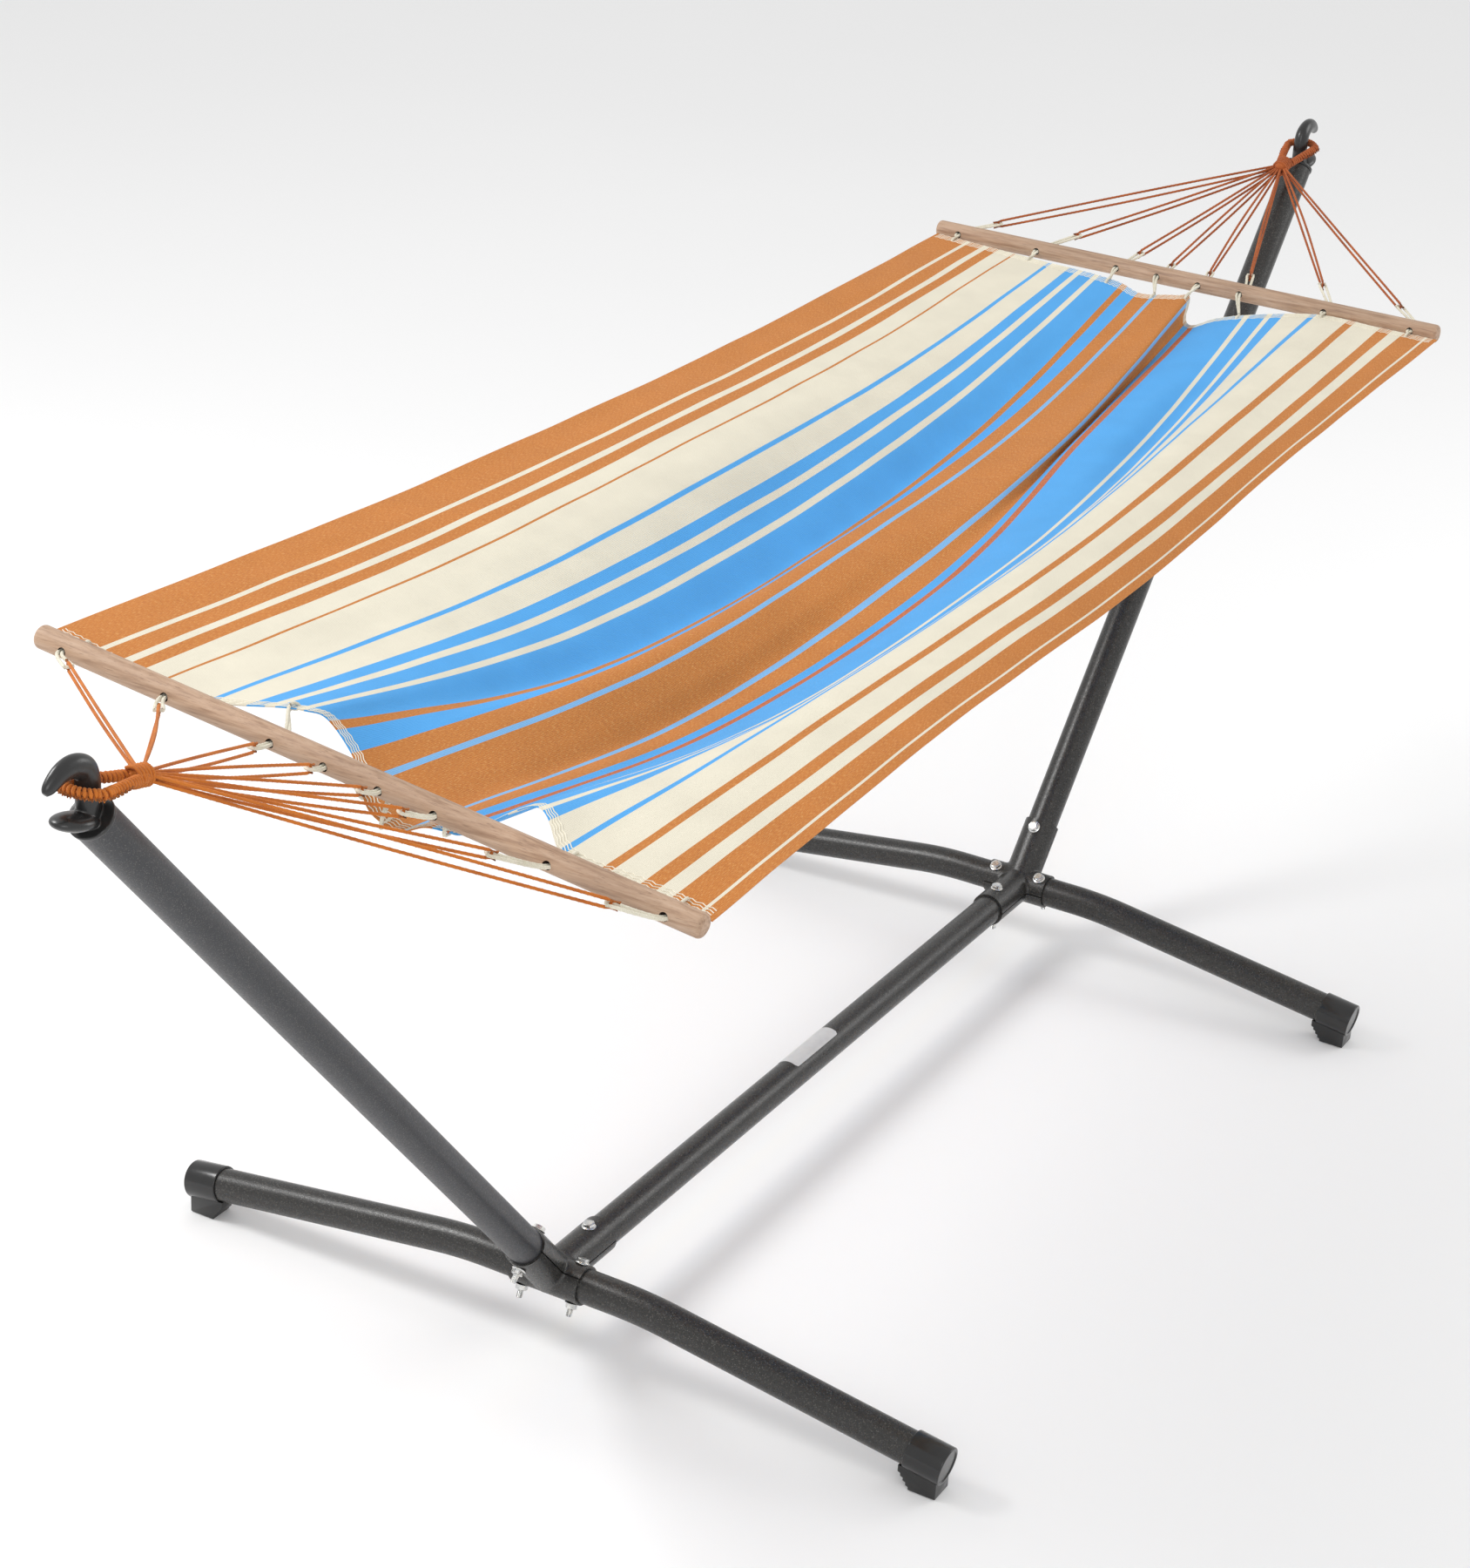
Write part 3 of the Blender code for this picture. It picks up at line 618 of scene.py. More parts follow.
def sleeves(name, grow, extra):
    """Arm, spine and foot sleeves joined; extra runs them on past their mouths."""
    reach = FOOT_DIR * (FOOT_SLEEVE + extra)
    body = rod_solid(name, JOINT - reach, JOINT + reach, TUBE_R + grow, SLEEVE_SIDES)
    for direction, length, radius in SLEEVES:
        mouth = JOINT + direction * (length + extra)
        cut(body, rod_solid("sleeve", JOINT, mouth, radius + grow, SLEEVE_SIDES), "UNION")
    return body


def block(name, centre, axis, half, depth):
    """A square block whose near face passes through centre, facing back along axis."""
    side = axis.orthogonal().normalized()
    up = axis.cross(side)
    corners = [side * a * half + up * b * half for a, b in ((-1, -1), (1, -1), (1, 1), (-1, 1))]
    points = [centre + c for c in corners] + [centre + axis * depth + c for c in corners]
    faces = [(0, 3, 2, 1), (4, 5, 6, 7)]
    faces += [(k, (k + 1) % 4, (k + 1) % 4 + 4, k + 4) for k in range(4)]
    return solid(name, (points, faces))


def v_wedge(offset):
    """The space inside the V of arm and spine, moved along its bisector."""
    half_v = math.acos(ARM_DIR.dot(SPINE_DIR)) / 2
    corner = JOINT + CROTCH * (offset / math.sin(half_v))
    reach = 0.3
    outline = [corner, corner + ARM_DIR * reach, corner + CROTCH * reach * 1.6, corner + SPINE_DIR * reach]
    thick = Vector((0.0, 0.1, 0.0))
    points = [p - thick for p in outline] + [p + thick for p in outline]
    faces = [(0, 1, 2, 3), (7, 6, 5, 4)] + [(k, k + 4, (k + 1) % 4 + 4, (k + 1) % 4) for k in range(4)]
    return solid("wedge", (points, faces))


CLAMP_GROW = GAP + SLEEVE_WALL
FOOT_MOUTHS = [(FOOT_DIR, FOOT_SLEEVE, TUBE_R), (-FOOT_DIR, FOOT_SLEEVE, TUBE_R)]
outer = soften(sleeves("clamp", CLAMP_GROW + SHRINK_ALLOWANCE, OVERRUN), CLAMP_VOXEL, CLAMP_ROUNDS)
for direction, length, radius in SLEEVES + FOOT_MOUTHS:
    cut(outer, block("mouth", JOINT + direction * length, direction, MOUTH_BLOCK, MOUTH_BLOCK))
cut(outer, sleeves("hollow", GAP, OVERRUN * 2))
for name, operation, offset in (("upper_clamp", "INTERSECT", SEAM), ("lower_clamp", "DIFFERENCE", -SEAM)):
    shell = bpy.data.objects.new(name, outer.data.copy())
    scene.collection.objects.link(shell)
    shell = cut(shell, v_wedge(offset), operation)
    both_ends(name, take_mesh(shell), [HAMMERED])
print("clamp faces", len(outer.data.polygons))
bpy.data.objects.remove(outer, do_unlink=True)

# %% [markdown]
# ## Bolts and nuts
# Bright flanged hex bolts hold the shells. A hex head's corners are turned off at a slant, which leaves
# a curved edge on each flat: giving every ring point its own height makes that edge. A helix of small
# ridges makes the thread below each nut.

# %% Bolt and nut shapes
BOLT_R = 0.0038
HEAD_R = 0.0075
HEAD_H = 0.0058
FLANGE_R = 0.0088
FLANGE_H = 0.0016
FLANGE_EASE = 0.0003
FLANGE_EDGE = 0.0009
NUT_H = 0.0068
STUD = 0.009
THREAD_PITCH = 0.00125
THREAD_DEPTH = 0.0004
HEX_POINTS = 36
BOLT_GRIPS = {"arm": ARM_R + CLAMP_GROW, "spine": TUBE_R + CLAMP_GROW}


def hex_radius(angle):
    return HEAD_R * math.cos(math.pi / 6) / math.cos(angle % (math.pi / 3) - math.pi / 6)


def stacked(rings, close_low=True, close_high=True):
    """Skin over rings of (x, y, z) points, all with the same count."""
    count = len(rings[0])
    points = [Vector(p) for ring in rings for p in ring]
    faces = []
    for level in range(len(rings) - 1):
        for k in range(count):
            after = (k + 1) % count
            low = level * count
            faces.append((low + k, low + after, low + count + after, low + count + k))
    if close_low:
        faces.append(tuple(reversed(range(count))))
    if close_high:
        faces.append(tuple(range(len(points) - count, len(points))))
    return points, faces


def round_ring(radius, z):
    turn = 2 * math.pi / HEX_POINTS
    return [(radius * math.cos(turn * k), radius * math.sin(turn * k), z) for k in range(HEX_POINTS)]


def hex_rings(low, high, toward):
    """Two rings of a hex prism; the ring at high is chamfered. toward is +1 up or -1 down."""
    turn = 2 * math.pi / HEX_POINTS
    face_radius = HEAD_R * 0.90
    bottom = []
    shoulder = []
    for k in range(HEX_POINTS):
        radius = hex_radius(turn * k)
        fall = max(0.0, radius - face_radius) * 0.6
        x, y = math.cos(turn * k), math.sin(turn * k)
        bottom.append((radius * x, radius * y, low))
        shoulder.append((radius * x, radius * y, high - toward * (fall + 0.0002)))
    return [bottom, shoulder, round_ring(face_radius * 0.96, high)]


def flange_rings(seat, toward):
    """A flange that slopes up to the hex."""
    return [
        round_ring(FLANGE_R - FLANGE_EASE, seat),
        round_ring(FLANGE_R, seat + toward * FLANGE_EASE),
        round_ring(FLANGE_R, seat + toward * FLANGE_EDGE),
        round_ring(HEAD_R * 0.93, seat + toward * FLANGE_H * 1.2),
    ]


def thread_rings(start, end):
    """Rings whose radius follows a screw thread from start down to end."""
    rings = []
    levels = int(abs(end - start) / (THREAD_PITCH / 8))
    for level in range(levels + 1):
        z = start + (end - start) * level / levels
        ring = []
        for k in range(HEX_POINTS):
            angle = 2 * math.pi * k / HEX_POINTS
            phase = (z / THREAD_PITCH + k / HEX_POINTS) % 1.0
            radius = BOLT_R - THREAD_DEPTH * abs(2 * phase - 1) * 1.6
            radius -= 0.0008 * max(0.0, 1 - abs(end - z) / 0.0008)
            ring.append((radius * math.cos(angle), radius * math.sin(angle), z))
        rings.append(ring)
    return rings


def bolt_mesh(grip):
    seat = grip + GAP
    head = stacked(flange_rings(seat, 1) + hex_rings(seat + FLANGE_H * 0.8, seat + HEAD_H, 1))
    top = seat + HEAD_H
    dimple = stacked([round_ring(HEAD_R * 0.62, top + 0.00015), round_ring(HEAD_R * 0.55, top - 0.0003)])
    tip = -seat - FLANGE_H - NUT_H - STUD
    shank = stacked([round_ring(BOLT_R, seat + 0.001), round_ring(BOLT_R, -seat + 0.002)])
    thread = stacked(thread_rings(-seat + 0.002, tip))
    return mesh_of("bolt", head, dimple, shank, thread)


def nut_mesh(grip):
    seat = -grip - GAP
    hole = BOLT_R + GAP
    rings = [round_ring(hole, seat)] + flange_rings(seat, -1)
    rings += hex_rings(seat - FLANGE_H * 0.8, seat - NUT_H, -1)
    rings += [round_ring(hole + 0.0004, seat - NUT_H), round_ring(hole, seat - NUT_H + 0.0004)]
    points, faces = stacked(rings, False, False)
    last = len(points) - HEX_POINTS
    faces += [(last + k, last + (k + 1) % HEX_POINTS, (k + 1) % HEX_POINTS, k) for k in range(HEX_POINTS)]
    return mesh_of("nut", (points, faces))


# %% Place bolts and nuts
ARM_BOLT = 0.082
SPINE_BOLT = 0.078
FOOT_BOLT_Y = 0.035
BOLTS = [
    ("arm", "arm", JOINT + ARM_DIR * ARM_BOLT, ARM_IN, "arm"),
    ("spine", "spine", JOINT + SPINE_DIR * SPINE_BOLT, UP, "spine"),
    ("foot_left", "foot_right", JOINT + FOOT_DIR * FOOT_BOLT_Y, CROTCH, "spine"),
    ("foot_right", "foot_left", JOINT - FOOT_DIR * FOOT_BOLT_Y, CROTCH, "spine"),
]
for index, (name, twin, centre, direction, grip) in enumerate(BOLTS):
    place = Matrix.Translation(centre) @ direction.to_track_quat("Z", "Y").to_matrix().to_4x4()
    place = place @ Matrix.Rotation(math.radians(17 + 23 * index), 4, "Z")
    for kind, shape in (("_bolt", bolt_mesh), ("_nut", nut_mesh)):
        mesh = shape(BOLT_GRIPS[grip])
        mesh.transform(place)
        both_ends(name + kind, mesh, [ZINC], twin + kind)
print("bolts placed:", 2 * len(BOLTS))

# %% [markdown]
# ## Foot caps
# Each foot ends in a glossy moulded cap with a rounded rim, a shallow dish in its end and a stepped pad
# that stands on the ground. The cap is turned from a profile, and the pad is a thick plate cut to its
# toothed outline and joined on.

# %% Foot cap
CAP_R = 0.0237
CAP_LENGTH = 0.047
CAP_END = 0.003
PAD_HALF = 0.0165
RIM_R = 0.0016
DISH_R = 0.0195
FOOT_RUN = Vector((0.0, -math.cos(FOOT_SLOPE), math.sin(FOOT_SLOPE)))
CAP_TIP = Vector((JOINT_X, FOOT_HALF, foot_axis(FOOT_HALF))) - FOOT_RUN * (CAP_END + GAP)


def turned(start, axis, profile, sides=64):
    """A solid of revolution: profile is a closed loop of (distance along axis, radius)."""
    side = axis.orthogonal().normalized()
    up = axis.cross(side)
    rings = []
    for distance, radius in profile:
        ring = [start + axis * distance + side * a + up * b for a, b in circle(radius, sides)]
        rings.append(ring)
    return stacked(rings)


def rim_arc(distance, radius, start, end, steps=5):
    """Points on a quarter round of RIM_R about a rim, angles in degrees."""
    angles = [math.radians(start + (end - start) * k / steps) for k in range(steps + 1)]
    return [(distance + RIM_R * math.cos(a), radius + RIM_R * math.sin(a)) for a in angles]


def pad_outline():
    """Side view of the ground pad in (y, z): flat sole and a stepped inner toe."""
    steps = 4
    rise = 0.0050
    run = 0.0036
    outer = CAP_TIP.y - 0.005
    inner = CAP_TIP.y - 0.040
    outline = [(outer, 0.0), (outer, SPINE_Z * 0.3), (inner - steps * run, SPINE_Z * 0.3)]
    for step in range(steps, 0, -1):
        outline.append((inner - step * run, step * rise))
        outline.append((inner - (step - 1) * run, step * rise - 0.0012))
    outline.append((inner, 0.0))
    return outline


def plate_solid(outline, x, half):
    low = [Vector((x - half, y, z)) for y, z in outline]
    high = [Vector((x + half, y, z)) for y, z in outline]
    count = len(outline)
    faces = [tuple(range(count)), tuple(reversed(range(count, 2 * count)))]
    faces += [(k, (k + 1) % count, (k + 1) % count + count, k + count) for k in range(count)]
    return solid("pad", (low + high, faces))


cap_profile = [(0.0012, 0.0001), (0.0012, DISH_R - 0.0006), (0.0, DISH_R + 0.0006)]
cap_profile += rim_arc(RIM_R, CAP_R - RIM_R, 180, 90)
cap_profile += rim_arc(CAP_LENGTH - RIM_R, CAP_R - RIM_R, 90, 30)
cap_profile += [(CAP_LENGTH, TUBE_R + GAP * 2), (CAP_LENGTH, 0.0001)]
cap = solid("cap", turned(CAP_TIP, FOOT_RUN, cap_profile))
pad = plate_solid(pad_outline(), JOINT_X, PAD_HALF)
ease = pad.modifiers.new("ease", "BEVEL")
ease.width = 0.0009
ease.segments = 2
cut(cap, bake(pad), "UNION")
bore_start = CAP_TIP + FOOT_RUN * CAP_END
cut(cap, rod_solid("bore", bore_start, bore_start + FOOT_RUN * 0.1, TUBE_R + GAP, 64))
cap_mesh = take_mesh(cap)
about_joint = Matrix.Translation((JOINT_X, 0, 0)) @ HALF_TURN @ Matrix.Translation((-JOINT_X, 0, 0))
mirrored_cap = cap_mesh.copy()
mirrored_cap.transform(about_joint)
both_ends("foot_cap_left", cap_mesh, [CAP_PLASTIC], "foot_cap_right")
both_ends("foot_cap_right", mirrored_cap, [CAP_PLASTIC], "foot_cap_left")
print("caps: sole at", round(min(v.co.z for v in cap_mesh.vertices), 4))

# %% [markdown]
# ## Hooks
# A moulded plug closes each arm. From it rises a horn that curls outward, and a leaf-shaped lip looks
# inward below the seat. The parts are joined and softened together, so they flow like one moulding.

# %% Hook
ARM_MOUTH = JOINT + ARM_DIR * ARM_TOP
HORN = [
    (1.4235, 1.006, 0.0130),
    (1.4235, 1.024, 0.0132),
    (1.4235, 1.044, 0.0130),
    (1.4280, 1.058, 0.0125),
    (1.4430, 1.0655, 0.0115),
    (1.4600, 1.0640, 0.0100),
    (1.4750, 1.0560, 0.0072),
    (1.4800, 1.0520, 0.0035),
]
HOOK_VOXEL = 0.0010
HORN_SQUEEZE = 0.80
LIP_CENTRE = Vector((1.4430, 0.0, 1.0120))
LIP_RADII = (0.027, 0.0185, 0.0085)
LIP_PITCH = math.radians(-14.0)
COLLAR_H = 0.0052
COLLAR_STEP = 0.0014
PLUG_DEPTH = 0.06
PLUG_RISE = 0.003


def horn_skin():
    """Oval horn: the third coordinate of the smooth path carries the radius."""
    knots = smooth_path(HORN, 0.002)
    path = [Vector((x, 0.0, z)) for x, z, radius in knots]
    points = []
    rings = []
    for (x, z, radius), (side, up) in zip(knots, path_frames(path)):
        ring = [Vector((x, 0.0, z)) + side * a + up * b for a, b in circle(radius, 32)]
        rings.append([Vector((p.x, p.y * HORN_SQUEEZE, p.z)) for p in ring])
    return stacked(rings)


def ball_skin(centre, radii, pitch=0.0, sides=40):
    turn = Matrix.Rotation(pitch, 3, "Y")
    rings = []
    for level in range(1, sides // 2):
        angle = math.pi * level / (sides // 2)
        ring = circle(math.sin(angle), sides)
        level_z = -radii[2] * math.cos(angle)
        offsets = [Vector((radii[0] * a, radii[1] * b, level_z)) for a, b in ring]
        rings.append([Vector(centre) + turn @ offset for offset in offsets])
    return stacked(rings)


hook = solid("hook", horn_skin())
cut(hook, solid("lip", ball_skin(LIP_CENTRE, LIP_RADII, LIP_PITCH)), "UNION")
collar_top = ARM_MOUTH + ARM_DIR * COLLAR_H
cut(hook, rod_solid("collar", ARM_MOUTH + ARM_DIR * GAP, collar_top, ARM_R + COLLAR_STEP), "UNION")
plug_low = ARM_MOUTH - ARM_DIR * PLUG_DEPTH
plug_top = ARM_MOUTH + ARM_DIR * PLUG_RISE
cut(hook, rod_solid("plug", plug_low, plug_top, ARM_R - TUBE_WALL - GAP * 2), "UNION")
soften(hook, HOOK_VOXEL, 4)
both_ends("hook", take_mesh(hook), [HOOK_PLASTIC])

# %% [markdown]
# ## Blank label
# A strip of white film is wrapped over the middle of the spine. It carries no lettering here. It is a
# curved patch with slightly rounded corners, a fraction of a millimetre clear of the paint.

# %% Label
LABEL_X = -0.006
LABEL_HALF = 0.055
LABEL_SPAN = math.radians(95.0)
LABEL_TURN = math.radians(-12.0)
LABEL_LIFT = 0.0002
LABEL_T = 0.0003
LABEL_CORNER = 0.004


def label_skin(columns=40, rows=24):
    """Outer and inner layer of the film; the end columns narrow to round the corners."""
    layers = []
    for radius in (TUBE_R + LABEL_LIFT + LABEL_T, TUBE_R + LABEL_LIFT):
        layer = []
        for i in range(columns + 1):
            x = -LABEL_HALF + 2 * LABEL_HALF * i / columns
            inset = max(0.0, abs(x) - (LABEL_HALF - LABEL_CORNER)) / LABEL_CORNER
            half = LABEL_SPAN / 2 - (1 - math.sqrt(max(0.0, 1 - inset ** 2))) * LABEL_CORNER / TUBE_R
            for j in range(rows + 1):
                angle = LABEL_TURN + half * (2 * j / rows - 1)
                y = -radius * math.sin(angle)
                layer.append(Vector((LABEL_X + x, y, SPINE_Z + radius * math.cos(angle))))
        layers.append(layer)
    count = len(layers[0])
    faces = []
    for i in range(columns):
        for j in range(rows):
            a = i * (rows + 1) + j
            quad = (a, a + 1, a + rows + 2, a + rows + 1)
            faces.append(quad)
            faces.append(tuple(count + k for k in reversed(quad)))
    border = [i * (rows + 1) for i in range(columns + 1)]
    border += [columns * (rows + 1) + j for j in range(1, rows + 1)]
    border += [i * (rows + 1) + rows for i in range(columns - 1, -1, -1)]
    border += [j for j in range(rows - 1, 0, -1)]
    for a, b in zip(border, border[1:] + border[:1]):
        faces.append((a, b, b + count, a + count))
    return layers[0] + layers[1], faces


piece("spine_label" + FINE, mesh_of("label", label_skin()), [LABEL_FILM], "stand", ["spine_label"])

# %% [markdown]
# ## Spreader bars
# A round wooden bar at each end keeps the cloth wide. It has softly rounded ends and eight bored holes,
# whose walls are painted nearly black as painted shade. The near bar hangs a few degrees out of level.

# %% Bars
BAR_R = 0.013
BAR_HALF = 0.401
BAR_HOLE_R = 0.0050
BAR_END_R = 0.0055
BORE_REACH = 0.02
HOLE_PITCH = 0.0658
HOLE_STEPS = (5.5, 3.5, 1.5, 0.5, -0.5, -1.5, -3.5, -5.5)

# painted shade: the walls of the bored holes are painted nearly black, in place of the shade inside them
hole_shade_finish = Finish("painted_hole_shade", roughness=0.8)
hole_shade_mottle = hole_shade_finish.noise(hole_shade_finish.place(), 500.0)
hole_shade_finish.color(hole_shade_finish.ramp(hole_shade_mottle, [(0.3, (0.030, 0.017, 0.011)), (0.7, (0.07, 0.04, 0.026))]))
HOLE_SHADE = hole_shade_finish.material


class End:
    """One end of the hammock: side is +1 far, -1 near."""

    def __init__(self, name, side, bar_x, bar_y, bar_z, tilt):
        self.name = name
        self.side = side
        self.bar = Vector((side * bar_x, bar_y, bar_z))
        self.tilt = math.radians(tilt)
        self.along = Vector((0.0, math.cos(self.tilt), math.sin(self.tilt)))

    def hole(self, step):
        return self.bar + self.along * (step * HOLE_PITCH)


NEAR = End("near", -1, 1.058, -0.027, 0.919, 6.4)
FAR = End("far", 1, 1.055, 0.0247, 0.909, 0.0)


def bar_profile():
    """Half of a lathe profile mirrored: (distance, radius) with quarter-round ends."""
    end = []
    for k in range(9):
        angle = math.pi / 2 * k / 8
        distance = BAR_HALF - BAR_END_R * (1 - math.sin(math.pi / 2 - angle))
        end.append((distance, BAR_R - BAR_END_R * (1 - math.sin(angle))))
    mid = [(BAR_HALF * 0.95 * (1 - 2 * k / 30), BAR_R) for k in range(31)]
    return end + mid + [(-distance, radius) for distance, radius in reversed(end)]


for end in (NEAR, FAR):
    profile = [(BAR_HALF, 0.0001)] + bar_profile() + [(-BAR_HALF, 0.0001)]
    bar = solid("bar", turned(end.bar, end.along, profile, 56), finish=WOOD)
    for step in HOLE_STEPS:
        centre = end.hole(step)
        across = Vector((BORE_REACH, 0.0, 0.0))
        cut(bar, rod_solid("bore", centre - across, centre + across, BAR_HOLE_R, 24, HOLE_SHADE))
    name = end.name + "_spreader_bar"
    piece(name + FINE, take_mesh(bar), [WOOD, HOLE_SHADE], "hammock", [name], 50.0)

# %% [markdown]
# ## The striped cloth
# The cloth is woven in orange, cream and blue stripes that run along it. A stripe's flat width is kept in
# millimetres, so the texture is laid out as on the loom. The folds come from the shape, apart from painted
# shade: two thin orange stripes on the shaded right wall of the trough are coloured a darker orange.

# %% Stripes, left edge to right edge, in millimetres
ORANGE = (0.55, 0.190, 0.030)
CREAM = (0.76, 0.71, 0.575)
BLUE = (0.075, 0.375, 0.80)
PALE_BLUE = (0.20, 0.45, 0.76)
# painted shade: a darker orange for the thin orange stripes that lie in shade on the trough's right wall
SHADED_ORANGE = (0.50, 0.13, 0.045)
STRIPES = [
    (ORANGE, 54), (CREAM, 7), (ORANGE, 24), (CREAM, 12), (ORANGE, 15), (CREAM, 27), (ORANGE, 5), (CREAM, 62),
    (BLUE, 9), (CREAM, 33), (BLUE, 17), (CREAM, 10), (BLUE, 26), (CREAM, 8), (BLUE, 58), (ORANGE, 12),
    (BLUE, 28), (ORANGE, 27), (PALE_BLUE, 7), (ORANGE, 65), (PALE_BLUE, 7), (ORANGE, 27), (BLUE, 12),
    # painted shade: the two darker orange stripes in this line lie on the shaded right wall of the trough
    (SHADED_ORANGE, 12), (BLUE, 30), (SHADED_ORANGE, 2), (BLUE, 33), (CREAM, 6), (BLUE, 22), (CREAM, 9), (BLUE, 12),
    (CREAM, 32), (BLUE, 8), (CREAM, 4), (ORANGE, 2), (CREAM, 34), (ORANGE, 9), (CREAM, 35),
    (ORANGE, 17), (CREAM, 18), (ORANGE, 33), (CREAM, 4), (ORANGE, 14),
]
CLOTH_WIDTH = sum(width for color, width in STRIPES)
CLOTH_LENGTH = 2060
print("cloth flat size", CLOTH_WIDTH, "by", CLOTH_LENGTH, "mm,", len(STRIPES), "stripes")

# %% [markdown]
# ## Finish of the cloth
# One colour ramp holds at most 32 stops, so two are used, one for each half of the width. Warp threads
# show as fine ribs along the stripe and weft threads cross them. The orange yarn is flecked with paler
# and darker slubs, and the cream and blue are nearly plain.

# %% Cloth finish
weave = Finish("striped_weave", roughness=0.86, Sheen_Weight=0.03, Sheen_Roughness=0.5)
flat_place = weave.node("Mapping", Vector=weave.node("TexCoord").outputs["UV"],
                        Scale=(CLOTH_WIDTH / 1000, CLOTH_LENGTH / 1000, 1.0)).outputs["Vector"]
flat_parts = weave.node("SeparateXYZ", Vector=weave.node("TexCoord").outputs["UV"])
EDGE_WAVER = 0.0008
long_place = weave.node("Mapping", Vector=flat_place, Scale=(1.0, 0.04, 1.0)).outputs["Vector"]
waver = weave.math("SUBTRACT", weave.noise(long_place, 90.0, 2.0), 0.5)
share = weave.math("ADD", flat_parts.outputs["X"], weave.math("MULTIPLY", waver, EDGE_WAVER))
HALF_COUNT = 22


def stripe_ramp(stripes, start):
    stops = []
    for color, width in stripes:
        stops.append((start / CLOTH_WIDTH, color))
        start += width
    return weave.ramp(share, stops, "CONSTANT"), start


left_colors, split = stripe_ramp(STRIPES[:HALF_COUNT], 0)
right_colors, _ = stripe_ramp(STRIPES[HALF_COUNT:], split)
is_right = weave.math("GREATER_THAN", share, split / CLOTH_WIDTH)
stripe_color = weave.mix(is_right, left_colors, right_colors)
channels = weave.node("SeparateColor", Color=stripe_color)
is_orange = weave.math("MULTIPLY", weave.math("GREATER_THAN", channels.outputs["Red"], 0.4),
                       weave.math("LESS_THAN", channels.outputs["Blue"], 0.2))
slub_place = weave.node("Mapping", Vector=flat_place, Scale=(1.0, 0.16, 1.0)).outputs["Vector"]
slubs = weave.noise(slub_place, 1100.0, 2.0)
pale_slubs = weave.math("MULTIPLY", weave.ramp(slubs, [(0.54, 0.0), (0.66, 1.0)]), is_orange)
dark_slubs = weave.math("MULTIPLY", weave.ramp(slubs, [(0.34, 1.0), (0.46, 0.0)]), is_orange)
flecked = weave.mix(weave.math("MULTIPLY", pale_slubs, 0.34), stripe_color, (0.80, 0.47, 0.18))
flecked = weave.mix(weave.math("MULTIPLY", dark_slubs, 0.35), flecked, (0.34, 0.085, 0.022))
clouds = weave.ramp(weave.noise(flat_place, 14.0, 3.0), [(0.3, 0.93), (0.7, 1.0)])
weave.color(weave.mix(1.0, flecked, clouds, "MULTIPLY"))
WARP_PITCH = 0.0009
WEFT_PITCH = 0.0012


def ribs(direction, pitch):
    """Rounded threads of one pitch, running across the given axis."""
    wave = weave.node("TexWave", {"bands_direction": direction}, Vector=flat_place,
                      Scale=math.pi / pitch / 10 / 2, Distortion=0.0)
    return wave.outputs["Fac"]


threads = weave.math("ADD", ribs("X", WARP_PITCH), weave.math("MULTIPLY", ribs("Y", WEFT_PITCH), 0.6))
rough_threads = weave.math("ADD", threads, weave.math("MULTIPLY", slubs, 1.4))
weave.roughness(slubs, 0.78, 0.92)
weave.bump(rough_threads, 0.5, 0.0004)
CLOTH_WEAVE = weave.material

# %% [markdown]
# ## Draping by chalk lines
# A tailor marks long chalk lines down a cloth. Here each line is a flat distance from the left edge, and
# it is given a place at the near hem, at each quarter, and at the far hem. A smooth curve through the
# lines makes the trough, the crease beside the wide orange stripe, and the lip on the right.

# %% Chalk lines in millimetres
# flat distance: near hem (x, y, z), then (y, z) at one, two and three quarters, then far hem (x, y, z)
CHALK = {
    0: ((-1040, 375, 960), (380, 930), (390, 910), (405, 900), (1040, 420, 905)),
    205: ((-1040, 180, 935), (180, 890), (190, 880), (210, 875), (1030, 230, 900)),
    310: ((-1005, 80, 940), (85, 850), (105, 820), (120, 840), (1020, 140, 900)),
    370: ((-985, 60, 925), (40, 825), (55, 795), (75, 815), (1020, 100, 895)),
    410: ((-990, 30, 900), (0, 845), (20, 820), (40, 830), (1010, 70, 890)),
    475: ((-1050, -40, 875), (-55, 820), (-45, 820), (-25, 840), (1020, 15, 895)),
    505: ((-1055, -75, 870), (-80, 800), (-80, 810), (-65, 850), (1025, -5, 895)),
    530: ((-1050, -100, 880), (-105, 800), (-115, 810), (-65, 830), (1005, -10, 870)),
    555: ((-1045, -120, 880), (-125, 800), (-140, 815), (-80, 845), (990, -25, 865)),
    595: ((-1040, -140, 880), (-160, 815), (-185, 840), (-130, 855), (1000, -60, 880)),
    655: ((-990, -190, 905), (-215, 845), (-240, 865), (-180, 850), (1020, -125, 895)),
    720: ((-1040, -255, 890), (-270, 890), (-280, 900), (-245, 905), (1040, -200, 905)),
    800: ((-1045, -335, 885), (-340, 895), (-345, 900), (-320, 900), (1040, -290, 905)),
    888: ((-1045, -425, 875), (-410, 885), (-400, 875), (-380, 885), (1040, -380, 905)),
}


def through(knots, values, at):
    """Smooth curve through values at uneven knots, read at the given places."""
    knots = np.asarray(knots, float)
    values = np.asarray(values, float)
    slopes = np.gradient(values, knots, axis=0)
    index = np.clip(np.searchsorted(knots, at, side="right") - 1, 0, len(knots) - 2)
    span = knots[index + 1] - knots[index]
    t = (np.asarray(at, float) - knots[index]) / span
    shape = (-1,) + (1,) * (values.ndim - 1)
    t = t.reshape(shape)
    span = span.reshape(shape)
    start = values[index] * (1 + 2 * t) * (1 - t) ** 2 + slopes[index] * span * t * (1 - t) ** 2
    return start + values[index + 1] * t * t * (3 - 2 * t) + slopes[index + 1] * span * t * t * (t - 1)


